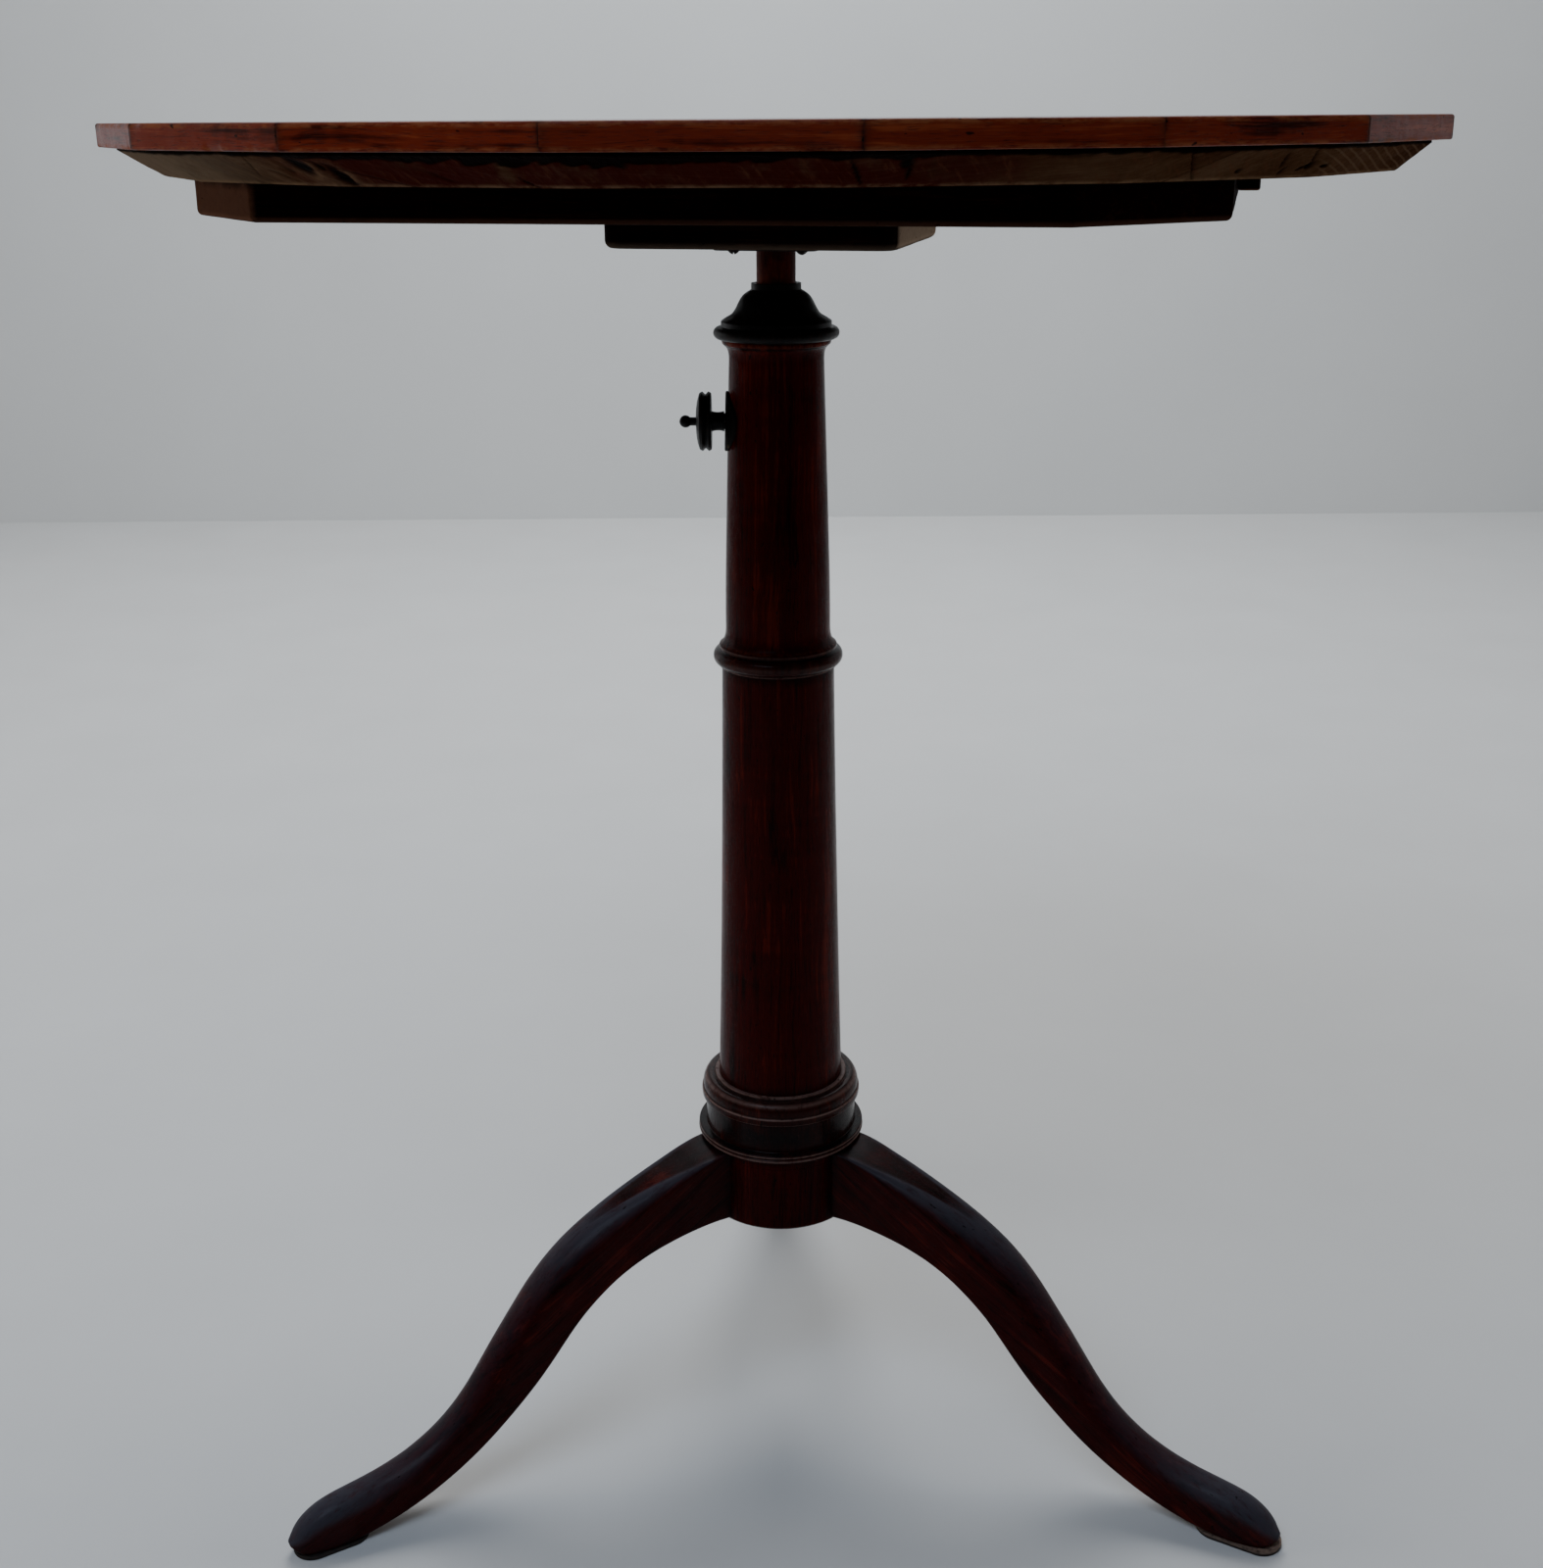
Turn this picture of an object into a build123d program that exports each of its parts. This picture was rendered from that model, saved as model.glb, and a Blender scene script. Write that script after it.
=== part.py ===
from build123d import *
import os
from math import cos, pi, radians, sin

os.makedirs("parts", exist_ok=True)

# An adjustable pedestal table. All sizes are in millimetres. The origin is on the column's
# axis at floor level, +Z is up, the lock knob points to -X and one leg points to +Y.

# Overall sizes
table_height = 720.0
top_across_corners = 622.0
facet_count = 18
first_corner_angle = -84.9
under_frame_angle = -13.8
back_leg_angle = 90.0
leg_sides = ("back", "left", "right")

# Clearances
glue_gap = 0.05
running_gap = 0.08
bearing_gap = 0.3
cut_overrun = 5.0

# The top: mitred edge boards, field boards, planks, under plate and bearer block
edge_thickness = 10.0
edge_width = 55.0
field_board_count = 3
plank_thickness = 12.5
plank_edge_setback = 8.0
plank_bevel_run = 17.0
plank_bevel_land = 1.2
outer_plank_width = 57.0
plank_inner_count = 4
plate_across = 438.0
plate_thickness = 15.5
plate_corner_leg = 55.0
plate_arris = 2.5
cleat_thickness = 8.5
cleat_reach = 10.0
cleat_length = 96.0
cleat_corner_radius = 5.0
block_length = 143.0
block_width = 119.0
block_thickness = 19.5
block_corner_radius = 10.0
block_arris = 3.5
pivot_plate_across = 51.0
pivot_plate_thickness = 2.5
pivot_plate_corner_radius = 3.0

# Wood screws in the top
plate_screw_radius = 2.0
plate_screw_head_radius = 4.2
plate_screw_bite = 8.0
plate_screw_inset = 34.0
plate_screw_side_spacing = 130.0
block_screw_radius = 2.5
block_screw_head_radius = 5.0
block_screw_bite = 11.0
block_screw_inset = 18.5
countersink_angle = 90.0
screw_point_length = 4.0
pivot_screw_radius = 1.6
pivot_screw_head_radius = 3.2
pivot_screw_head_height = 2.4
pivot_screw_bite = 13.0
pivot_screw_inset = 8.5

# Sliding shaft and its pivot
shaft_radius = 9.75
shaft_exposed = 16.5
shaft_drop = 16.0
stud_radius = 5.0
stud_depth = 50.0
washer_radius = 11.0
washer_thickness = 2.0
nut_across_flats = 16.0
nut_height = 6.0
nut_headroom = 2.0
nut_pocket_radius = 14.0
collar_height = 12.0
collar_pin_radius = 1.5
collar_pin_inset = 1.0
shaft_foot_length = 7.5
shaft_foot_chamfer = 2.0

# Column
column_bore_radius = 13.5
cap_height = 27.0
cap_bore_gap = 0.45
cap_lip_wall = 2.3
cap_lip_height = 3.2
cap_ring_radius = 31.6
cap_ring_height = 6.3
cap_seat_inset = 2.9
cap_dome_inset = 2.2
upper_column_length = 157.0
neck_bead_radius = 27.1
neck_bead_height = 2.4
neck_radius = 24.0
neck_drop = 10.0
upper_swell_radius = 26.2
upper_swell_drop = 86.5
upper_foot_radius = 27.5
upper_foot_rise = 9.5
flare_radius = 31.0
mid_ring_radius = 34.2
mid_ring_height = 11.5
mid_ring_fillet_height = 1.8
tenon_radius = 20.0
tenon_length = 41.0
lower_top_radius = 29.7
lower_mid_radius = 31.8
lower_foot_radius = 34.8
bush_length = 68.0
bore_floor_wall = 60.15
bore_floor_gap = 7.0

# Base moulding, hub and legs
hub_radius = 44.0
hub_foot_z = 128.7
hub_height = 44.1
hub_arris = 1.5
hub_tenon_radius = 16.0
hub_tenon_length = 52.0
moulding_lip_wall = 1.8
moulding_torus_reach = 10.2
moulding_torus_foot_reach = 8.6
moulding_torus_height = 14.9
moulding_fillet_height = 1.6
moulding_drum_waist_reach = 7.7
moulding_drum_foot_reach = 9.4
moulding_drum_height = 11.6
moulding_ring_reach = 12.4
moulding_ring_height = 7.6
moulding_groove_depth = 1.0
leg_reach = 304.0
leg_shoulder_drop = 0.5
leg_width = 29.5
leg_bottom_round = 2.5
dovetail_depth = 16.0
dovetail_neck = 13.0
dovetail_back = 19.0
dovetail_top_wall = 5.5
pad_thickness = 2.0
pad_length = 41.0
pad_width = 22.0
pad_toe_setback = 23.0

# Clamp: escutcheon, nut, screw, knob and pad
clamp_drop = 41.0
escutcheon_radius = 15.0
escutcheon_thickness = 1.3
escutcheon_pin_radius = 0.8
escutcheon_pin_length = 9.0
escutcheon_pin_inset = 3.5
nut_radius = 6.0
nut_end_gap = 0.7
nut_setback = 0.4
screw_radius = 4.0
pad_radius = 5.0
clamp_pad_thickness = 2.0
pad_socket_radius = 2.1
pad_socket_depth = 1.3
screw_pitch = 1.25
knob_disc_radius = 14.9
knob_disc_thickness = 6.0
knob_groove_depth = 1.5
knob_crown = 1.9
knob_stem_length = 6.5
knob_stem_wall = 1.2
knob_stem_waist_wall = 0.6
knob_neck_radius = 2.1
knob_neck_length = 3.0
knob_ball_radius = 3.1

# Shares of the piece that they belong to
moulding_torus_peak_share = 0.6
moulding_drum_waist_share = 0.43
ridge_round_limit_share = 0.8
sole_round_depth_share = 0.15
sole_round_width_share = 0.2
# The cap's dome: how far out from its lip to its foot, and how high up the cap
cap_dome_shares = [
    (0.882, 0.304),
    (0.781, 0.374),
    (0.583, 0.444),
    (0.491, 0.515),
    (0.373, 0.656),
    (0.308, 0.726),
    (0.213, 0.796),
    (0.095, 0.848),
]
# Along a leg: reach and height of its ridge, then of its sole, as shares of the leg's reach
# and rise; its width as a share of the leg's; and the ridge's rounding as a share of that
leg_station_shares = [
    (0.118, 1.000, 0.118, 0.750, 1.000, 0.17),
    (0.165, 0.992, 0.165, 0.752, 1.000, 0.17),
    (0.220, 0.970, 0.211, 0.745, 0.995, 0.20),
    (0.285, 0.937, 0.263, 0.729, 0.985, 0.28),
    (0.353, 0.893, 0.319, 0.699, 0.973, 0.36),
    (0.418, 0.839, 0.368, 0.657, 0.959, 0.43),
    (0.475, 0.772, 0.414, 0.599, 0.942, 0.47),
    (0.524, 0.688, 0.453, 0.535, 0.925, 0.47),
    (0.564, 0.598, 0.484, 0.470, 0.905, 0.47),
    (0.616, 0.473, 0.533, 0.368, 0.880, 0.47),
    (0.664, 0.359, 0.586, 0.278, 0.855, 0.47),
    (0.714, 0.275, 0.646, 0.193, 0.830, 0.47),
    (0.772, 0.216, 0.721, 0.112, 0.800, 0.47),
    (0.834, 0.182, 0.798, 0.052, 0.770, 0.47),
    (0.889, 0.165, 0.865, 0.019, 0.735, 0.47),
    (0.933, 0.149, 0.921, 0.006, 0.690, 0.47),
    (0.967, 0.119, 0.964, 0.006, 0.590, 0.47),
    (0.987, 0.084, 0.987, 0.020, 0.430, 0.47),
    (0.997, 0.055, 0.997, 0.038, 0.240, 0.40),
]

# The top's heights, from its upper face down
edge_z = table_height - edge_thickness
plank_z = edge_z - plank_thickness
plate_z = plank_z - plate_thickness
block_z = plate_z - block_thickness
pivot_z = block_z - pivot_plate_thickness

# The column's heights: from the top down to the ring, and from the hub up to the moulding
cap_top_z = pivot_z - shaft_exposed
cap_foot_z = cap_top_z - cap_height
neck_z = cap_foot_z - neck_drop
upper_swell_z = cap_foot_z - upper_swell_drop
clamp_z = cap_foot_z - clamp_drop
bush_z = cap_foot_z - bush_length
mid_joint_z = cap_foot_z - upper_column_length
upper_foot_z = mid_joint_z + upper_foot_rise
lower_top_z = mid_joint_z - mid_ring_height
hub_top_z = hub_foot_z + hub_height
leg_rise = hub_top_z - leg_shoulder_drop
moulding_ring_top_z = hub_top_z + moulding_ring_height
moulding_drum_top_z = moulding_ring_top_z + moulding_drum_height
moulding_torus_foot_z = moulding_drum_top_z + moulding_fillet_height
moulding_top_z = moulding_torus_foot_z + moulding_torus_height

# The shaft fills the bore down to its floor, less the drop to its lowest place
bore_floor_z = hub_top_z + hub_tenon_length + glue_gap + bore_floor_wall
shaft_foot_z = bore_floor_z + bore_floor_gap + shaft_drop
shaft_length = pivot_z - shaft_foot_z
collar_z = shaft_foot_z + shaft_foot_length

half_facet = pi / facet_count
top_radius = top_across_corners / 2
leg_angles = {side: back_leg_angle + index * 360 / len(leg_sides) for index, side in enumerate(leg_sides)}


def write_piece(piece, node_name):
    """Name a finished piece and write it."""
    piece.part.label = node_name
    export_step(piece.part, f"parts/{node_name}.step")


def facet_corner(radius, index):
    """A corner of the top's outline, counted from the corner nearest the front."""
    angle = radians(first_corner_angle + index * 360 / facet_count)
    return (radius * cos(angle), radius * sin(angle))


def facet_corners(radius):
    """All corners of a polygon that follows the top's outline."""
    return [facet_corner(radius, index) for index in range(facet_count)]


def turned_frame(height, facing=1):
    """A level plane that is turned with the under plate; facing -1 looks down."""
    angle = radians(under_frame_angle)
    return Plane(origin=(0, 0, height), x_dir=(cos(angle), sin(angle), 0), z_dir=(0, 0, facing))


def column_line_radius(height):
    """The upper column's radius on its straight upper stretch."""
    share = (neck_z - height) / (neck_z - upper_swell_z)
    return neck_radius + share * (upper_swell_radius - neck_radius)


# Mitred edge boards
inner_edge_radius = top_radius - edge_width / cos(half_facet)
for number in range(facet_count):
    with BuildPart() as edge_segment:
        with BuildSketch(Plane.XY.offset(edge_z)):
            with BuildLine():
                Polyline(
                    facet_corner(top_radius, number),
                    facet_corner(top_radius, number + 1),
                    facet_corner(inner_edge_radius, number + 1),
                    facet_corner(inner_edge_radius, number),
                    close=True,
                )
            make_face()
        extrude(amount=edge_thickness)
    write_piece(edge_segment, f"edge_segment_{number + 1:02d}")

# Field boards between the edge boards
field_radius = inner_edge_radius - glue_gap
field_board_width = 2 * field_radius / field_board_count
for number in range(field_board_count):
    board_y = (number + 0.5) * field_board_width - field_radius
    with BuildPart() as field_board:
        with BuildSketch(Plane.XY.offset(edge_z)):
            with BuildLine():
                Polyline(*facet_corners(field_radius), close=True)
            make_face()
            with Locations((0, board_y)):
                Rectangle(2 * field_radius, field_board_width, mode=Mode.INTERSECT)
        extrude(amount=edge_thickness)
    write_piece(field_board, f"field_board_{number + 1}")

# Core planks, their outer edge cut back underneath, with blind holes for the plate's screws
plank_top_radius = top_radius - plank_edge_setback
plank_foot_radius = plank_top_radius - plank_bevel_run
plank_span = plank_top_radius - outer_plank_width
plank_shares = [2 * number / plank_inner_count - 1 for number in range(plank_inner_count + 1)]
plank_edges = [-top_radius] + [share * plank_span for share in plank_shares] + [top_radius]
plate_screw_span = plate_across - 2 * plate_screw_inset
plate_screw_grids = [
    (plate_screw_span, plate_screw_side_spacing),
    (plate_screw_side_spacing, plate_screw_span),
]
for number, (near_y, far_y) in enumerate(zip(plank_edges, plank_edges[1:])):
    with BuildPart() as core_plank:
        with BuildSketch(Plane.XY.offset(edge_z - plank_bevel_land)):
            with BuildLine():
                Polyline(*facet_corners(plank_top_radius), close=True)
            make_face()
        with BuildSketch(Plane.XY.offset(plank_z)):
            with BuildLine():
                Polyline(*facet_corners(plank_foot_radius), close=True)
            make_face()
        loft(ruled=True)
        with BuildSketch(Plane.XY.offset(edge_z - plank_bevel_land)):
            with BuildLine():
                Polyline(*facet_corners(plank_top_radius), close=True)
            make_face()
        extrude(amount=plank_bevel_land)
        with BuildSketch(Plane.XY.offset(plank_z)):
            with Locations((0, (near_y + far_y) / 2)):
                Rectangle(2 * top_radius, far_y - near_y)
        extrude(amount=plank_thickness, mode=Mode.INTERSECT)
        for span_x, span_y in plate_screw_grids:
            with BuildSketch(turned_frame(plank_z)):
                with GridLocations(span_x, span_y, 2, 2):
                    Circle(plate_screw_radius + glue_gap)
            extrude(amount=plate_screw_bite + glue_gap, mode=Mode.SUBTRACT)
    write_piece(core_plank, f"core_plank_{number + 1}")

# Under plate: a square board with clipped corners
block_screw_spacing_x = block_length - 2 * block_screw_inset
block_screw_spacing_y = block_width - 2 * block_screw_inset
with BuildPart() as under_plate:
    with BuildSketch(turned_frame(plate_z)) as plate_outline:
        Rectangle(plate_across, plate_across)
        chamfer(plate_outline.vertices(), length=plate_corner_leg)
    extrude(amount=plate_thickness)
    fillet(under_plate.faces().sort_by(Axis.Z)[0].edges(), radius=plate_arris)
    for span_x, span_y in plate_screw_grids:
        with Locations(turned_frame(plate_z, facing=-1)):
            with GridLocations(span_x, span_y, 2, 2):
                CounterSinkHole(
                    radius=plate_screw_radius + glue_gap,
                    counter_sink_radius=plate_screw_head_radius + glue_gap,
                    counter_sink_angle=countersink_angle,
                )
    with BuildSketch(turned_frame(plate_z)):
        with GridLocations(block_screw_spacing_x, block_screw_spacing_y, 2, 2):
            Circle(block_screw_radius + glue_gap)
    extrude(amount=block_screw_bite + glue_gap, mode=Mode.SUBTRACT)
write_piece(under_plate, "under_plate")

# Thin cleat beside the plate's right-hand side
with BuildPart() as side_cleat:
    with BuildSketch(turned_frame(plank_z - cleat_thickness)) as cleat_outline:
        with Locations((plate_across / 2, 0)):
            Rectangle(cleat_reach, cleat_length, align=(Align.MIN, Align.CENTER))
        fillet(cleat_outline.vertices().group_by(Axis.X)[-1], radius=cleat_corner_radius)
    extrude(amount=cleat_thickness)
write_piece(side_cleat, "side_cleat")

# Bearer block, with a pocket for the pivot's nut in its upper face
pocket_depth = washer_thickness + nut_height + nut_headroom
pocket_z = plate_z - pocket_depth
pivot_screw_spacing = pivot_plate_across - 2 * pivot_screw_inset
with BuildPart() as bearer_block:
    with BuildSketch(turned_frame(block_z)):
        RectangleRounded(block_length, block_width, block_corner_radius)
    extrude(amount=block_thickness)
    fillet(bearer_block.faces().sort_by(Axis.Z)[0].edges(), radius=block_arris)
    with BuildSketch(turned_frame(pocket_z)):
        Circle(nut_pocket_radius)
    extrude(amount=pocket_depth, mode=Mode.SUBTRACT)
    with Locations(turned_frame(block_z, facing=-1)):
        Hole(stud_radius + bearing_gap)
        with GridLocations(block_screw_spacing_x, block_screw_spacing_y, 2, 2):
            CounterSinkHole(
                radius=block_screw_radius + glue_gap,
                counter_sink_radius=block_screw_head_radius + glue_gap,
                counter_sink_angle=countersink_angle,
            )
        with GridLocations(pivot_screw_spacing, pivot_screw_spacing, 2, 2):
            Hole(pivot_screw_radius + glue_gap, depth=pivot_screw_bite + glue_gap)
write_piece(bearer_block, "bearer_block")

# Iron plate that turns on the shaft's head
with BuildPart() as pivot_plate:
    with BuildSketch(turned_frame(pivot_z)):
        RectangleRounded(pivot_plate_across, pivot_plate_across, pivot_plate_corner_radius)
        Circle(stud_radius + running_gap, mode=Mode.SUBTRACT)
        with GridLocations(pivot_screw_spacing, pivot_screw_spacing, 2, 2):
            Circle(pivot_screw_radius + glue_gap, mode=Mode.SUBTRACT)
    extrude(amount=pivot_plate_thickness)
write_piece(pivot_plate, "pivot_plate")


def countersunk_screw(radius, head_radius, length):
    """A flat-headed wood screw: head at the origin, point towards -Z."""
    with BuildPart() as screw:
        with BuildSketch(Plane.XZ):
            with BuildLine():
                Polyline(
                    (0, 0),
                    (head_radius, 0),
                    (radius, radius - head_radius),
                    (radius, screw_point_length - length),
                    (0, -length),
                    close=True,
                )
            make_face()
        revolve(axis=Axis.Z)
    return screw.part


def round_head_screw(radius, head_radius, head_height, length):
    """A round-headed wood screw: the head's seat at the origin, point towards -Z."""
    with BuildPart() as screw:
        with BuildSketch(Plane.XZ):
            with BuildLine():
                TangentArc((0, head_height), (head_radius, 0), tangent=(1, 0))
                Polyline(
                    (head_radius, 0),
                    (radius, 0),
                    (radius, screw_point_length - length),
                    (0, -length),
                    (0, head_height),
                )
            make_face()
        revolve(axis=Axis.Z)
    return screw.part


plate_screw = countersunk_screw(
    plate_screw_radius, plate_screw_head_radius, plate_thickness + plate_screw_bite
)
with BuildPart() as plate_screws:
    for span_x, span_y in plate_screw_grids:
        with Locations(turned_frame(plate_z, facing=-1)):
            with GridLocations(span_x, span_y, 2, 2):
                add(plate_screw)
write_piece(plate_screws, "plate_screws")

block_screw = countersunk_screw(
    block_screw_radius, block_screw_head_radius, block_thickness + block_screw_bite
)
with BuildPart() as block_screws:
    with Locations(turned_frame(block_z, facing=-1)):
        with GridLocations(block_screw_spacing_x, block_screw_spacing_y, 2, 2):
            add(block_screw)
write_piece(block_screws, "block_screws")

pivot_screw = round_head_screw(
    pivot_screw_radius,
    pivot_screw_head_radius,
    pivot_screw_head_height,
    pivot_plate_thickness + pivot_screw_bite,
)
with BuildPart() as pivot_screws:
    with Locations(turned_frame(pivot_z, facing=-1)):
        with GridLocations(pivot_screw_spacing, pivot_screw_spacing, 2, 2):
            add(pivot_screw)
write_piece(pivot_screws, "pivot_screws")

# Shaft with the hole for its stud and for the collar's pin
with BuildPart() as shaft:
    with BuildSketch(Plane.XY.offset(shaft_foot_z)):
        Circle(shaft_radius)
    extrude(amount=shaft_length)
    chamfer(shaft.faces().sort_by(Axis.Z)[0].edges(), length=shaft_foot_chamfer)
    with Locations((0, 0, pivot_z)):
        Hole(stud_radius + glue_gap, depth=stud_depth + glue_gap)
    with Locations(Plane.XZ.offset(-shaft_radius)):
        with Locations((0, collar_z + collar_height / 2)):
            Hole(collar_pin_radius + glue_gap, depth=2 * shaft_radius)
write_piece(shaft, "shaft")

pin_z = collar_z + collar_height / 2
collar_radius = column_bore_radius - running_gap
with BuildPart() as shaft_collar:
    with BuildSketch(Plane.XY.offset(collar_z)):
        Circle(collar_radius)
        Circle(shaft_radius + glue_gap, mode=Mode.SUBTRACT)
    extrude(amount=collar_height)
    with BuildSketch(Plane.XZ.offset(-collar_radius)):
        with Locations((0, pin_z)):
            Circle(collar_pin_radius + glue_gap)
    extrude(amount=2 * collar_radius, mode=Mode.SUBTRACT)
write_piece(shaft_collar, "shaft_collar")

pin_half_length = collar_radius - collar_pin_inset
with BuildPart() as collar_pin:
    with BuildSketch(Plane.XZ.offset(-pin_half_length)):
        with Locations((0, pin_z)):
            Circle(collar_pin_radius)
    extrude(amount=2 * pin_half_length)
write_piece(collar_pin, "collar_pin")

# Pivot stud, washer and nut
stud_top_z = plate_z - nut_headroom / 2
with BuildPart() as pivot_stud:
    with BuildSketch(Plane.XY.offset(pivot_z - stud_depth)):
        Circle(stud_radius)
    extrude(amount=stud_top_z - pivot_z + stud_depth)
write_piece(pivot_stud, "pivot_stud")

with BuildPart() as pivot_washer:
    with BuildSketch(Plane.XY.offset(pocket_z)):
        Circle(washer_radius)
        Circle(stud_radius + glue_gap, mode=Mode.SUBTRACT)
    extrude(amount=washer_thickness)
write_piece(pivot_washer, "pivot_washer")

with BuildPart() as pivot_nut:
    with BuildSketch(Plane.XY.offset(pocket_z + washer_thickness)):
        RegularPolygon(nut_across_flats / 2, 6, major_radius=False)
        Circle(stud_radius + glue_gap, mode=Mode.SUBTRACT)
    extrude(amount=nut_height)
write_piece(pivot_nut, "pivot_nut")

# Black turned cap: half-round ring below, ogee dome above
cap_bore_radius = shaft_radius + cap_bore_gap
cap_lip_radius = cap_bore_radius + cap_lip_wall
cap_seat_radius = cap_ring_radius - cap_seat_inset
cap_dome_foot_radius = cap_ring_radius - cap_dome_inset
cap_dome = [
    (cap_lip_radius + out_share * (cap_dome_foot_radius - cap_lip_radius), cap_foot_z + up_share * cap_height)
    for out_share, up_share in cap_dome_shares
]
with BuildPart() as column_cap:
    with BuildSketch(Plane.XZ):
        with BuildLine():
            Line((cap_bore_radius, cap_top_z), (cap_bore_radius, cap_foot_z))
            Line((cap_bore_radius, cap_foot_z), (cap_seat_radius, cap_foot_z))
            ThreePointArc(
                (cap_seat_radius, cap_foot_z),
                (cap_ring_radius, cap_foot_z + cap_ring_height / 2),
                (cap_dome_foot_radius, cap_foot_z + cap_ring_height),
            )
            Line((cap_dome_foot_radius, cap_foot_z + cap_ring_height), cap_dome[0])
            Spline(*cap_dome)
            Line(cap_dome[-1], (cap_lip_radius, cap_top_z - cap_lip_height))
            Line((cap_lip_radius, cap_top_z - cap_lip_height), (cap_lip_radius, cap_top_z))
            Line((cap_lip_radius, cap_top_z), (cap_bore_radius, cap_top_z))
        make_face()
    revolve(axis=Axis.Z)
write_piece(column_cap, "column_cap")

# Sleeve that guides the shaft in the column's mouth
with BuildPart() as guide_bush:
    with BuildSketch(Plane.XY.offset(bush_z)):
        Circle(column_bore_radius - glue_gap)
        Circle(shaft_radius + running_gap, mode=Mode.SUBTRACT)
    extrude(amount=bush_length)
    with BuildSketch(Plane.YZ):
        with Locations((0, clamp_z)):
            Circle(nut_radius + glue_gap)
    extrude(amount=-2 * column_bore_radius, mode=Mode.SUBTRACT)
write_piece(guide_bush, "guide_bush")

escutcheon_pin_offset = escutcheon_radius - escutcheon_pin_inset
# Upper column: neck bead, tapering barrel, flare over the ring, and a tenon below
with BuildPart() as upper_column:
    with BuildSketch(Plane.XZ):
        with BuildLine():
            Line((column_bore_radius, cap_foot_z), (neck_bead_radius, cap_foot_z))
            ThreePointArc(
                (neck_bead_radius, cap_foot_z),
                (neck_bead_radius + neck_bead_height / 6, cap_foot_z - neck_bead_height / 2),
                (neck_bead_radius, cap_foot_z - neck_bead_height),
            )
            Spline(
                (neck_bead_radius, cap_foot_z - neck_bead_height),
                (neck_radius, neck_z),
                tangents=((-1, -0.4), (0, -1)),
            )
            barrel = Line((neck_radius, neck_z), (upper_swell_radius, upper_swell_z))
            TangentArc(
                (upper_swell_radius, upper_swell_z),
                (upper_foot_radius, upper_foot_z),
                tangent=barrel % 1,
            )
            Spline(
                (upper_foot_radius, upper_foot_z),
                (flare_radius, mid_joint_z),
                tangents=((0, -1), (1, -0.5)),
            )
            Line((flare_radius, mid_joint_z), (tenon_radius, mid_joint_z))
            Line((tenon_radius, mid_joint_z), (tenon_radius, mid_joint_z - tenon_length))
            Line((tenon_radius, mid_joint_z - tenon_length), (column_bore_radius, mid_joint_z - tenon_length))
            Line((column_bore_radius, mid_joint_z - tenon_length), (column_bore_radius, cap_foot_z))
        make_face()
    revolve(axis=Axis.Z)
    with BuildSketch(Plane.YZ):
        with Locations((0, clamp_z)):
            Circle(nut_radius + glue_gap)
        with Locations((0, clamp_z - escutcheon_pin_offset), (0, clamp_z + escutcheon_pin_offset)):
            Circle(escutcheon_pin_radius + glue_gap)
    extrude(amount=-2 * neck_radius, mode=Mode.SUBTRACT)
write_piece(upper_column, "upper_column")

# Ring over the joint of the two column halves
ring_top_z = mid_joint_z - mid_ring_fillet_height
ring_foot_z = lower_top_z + mid_ring_fillet_height / 2
with BuildPart() as mid_ring:
    with BuildSketch(Plane.XZ):
        with BuildLine():
            Line((tenon_radius + glue_gap, lower_top_z), (tenon_radius + glue_gap, mid_joint_z))
            Line((tenon_radius + glue_gap, mid_joint_z), (flare_radius, mid_joint_z))
            Line((flare_radius, mid_joint_z), (flare_radius, ring_top_z))
            ThreePointArc(
                (flare_radius, ring_top_z),
                (mid_ring_radius, (ring_top_z + ring_foot_z) / 2),
                (flare_radius, ring_foot_z),
            )
            Line((flare_radius, ring_foot_z), (flare_radius, lower_top_z))
            Line((flare_radius, lower_top_z), (tenon_radius + glue_gap, lower_top_z))
        make_face()
    revolve(axis=Axis.Z)
write_piece(mid_ring, "mid_ring")

# Lower column: socket for the tenon above, hole for the hub's tenon below
socket_floor_z = mid_joint_z - tenon_length - glue_gap
with BuildPart() as lower_column:
    with BuildSketch(Plane.XZ):
        with BuildLine():
            Line((tenon_radius + glue_gap, lower_top_z), (lower_top_radius, lower_top_z))
            ThreePointArc(
                (lower_top_radius, lower_top_z),
                (lower_mid_radius, (lower_top_z + moulding_top_z) / 2),
                (lower_foot_radius, moulding_top_z),
            )
            Polyline(
                (lower_foot_radius, moulding_top_z),
                (lower_foot_radius, hub_top_z),
                (hub_tenon_radius + glue_gap, hub_top_z),
                (hub_tenon_radius + glue_gap, hub_top_z + hub_tenon_length + glue_gap),
                (0, hub_top_z + hub_tenon_length + glue_gap),
                (0, bore_floor_z),
                (column_bore_radius, bore_floor_z),
                (column_bore_radius, socket_floor_z),
                (tenon_radius + glue_gap, socket_floor_z),
                (tenon_radius + glue_gap, lower_top_z),
            )
        make_face()
    revolve(axis=Axis.Z)
write_piece(lower_column, "lower_column")

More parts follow.
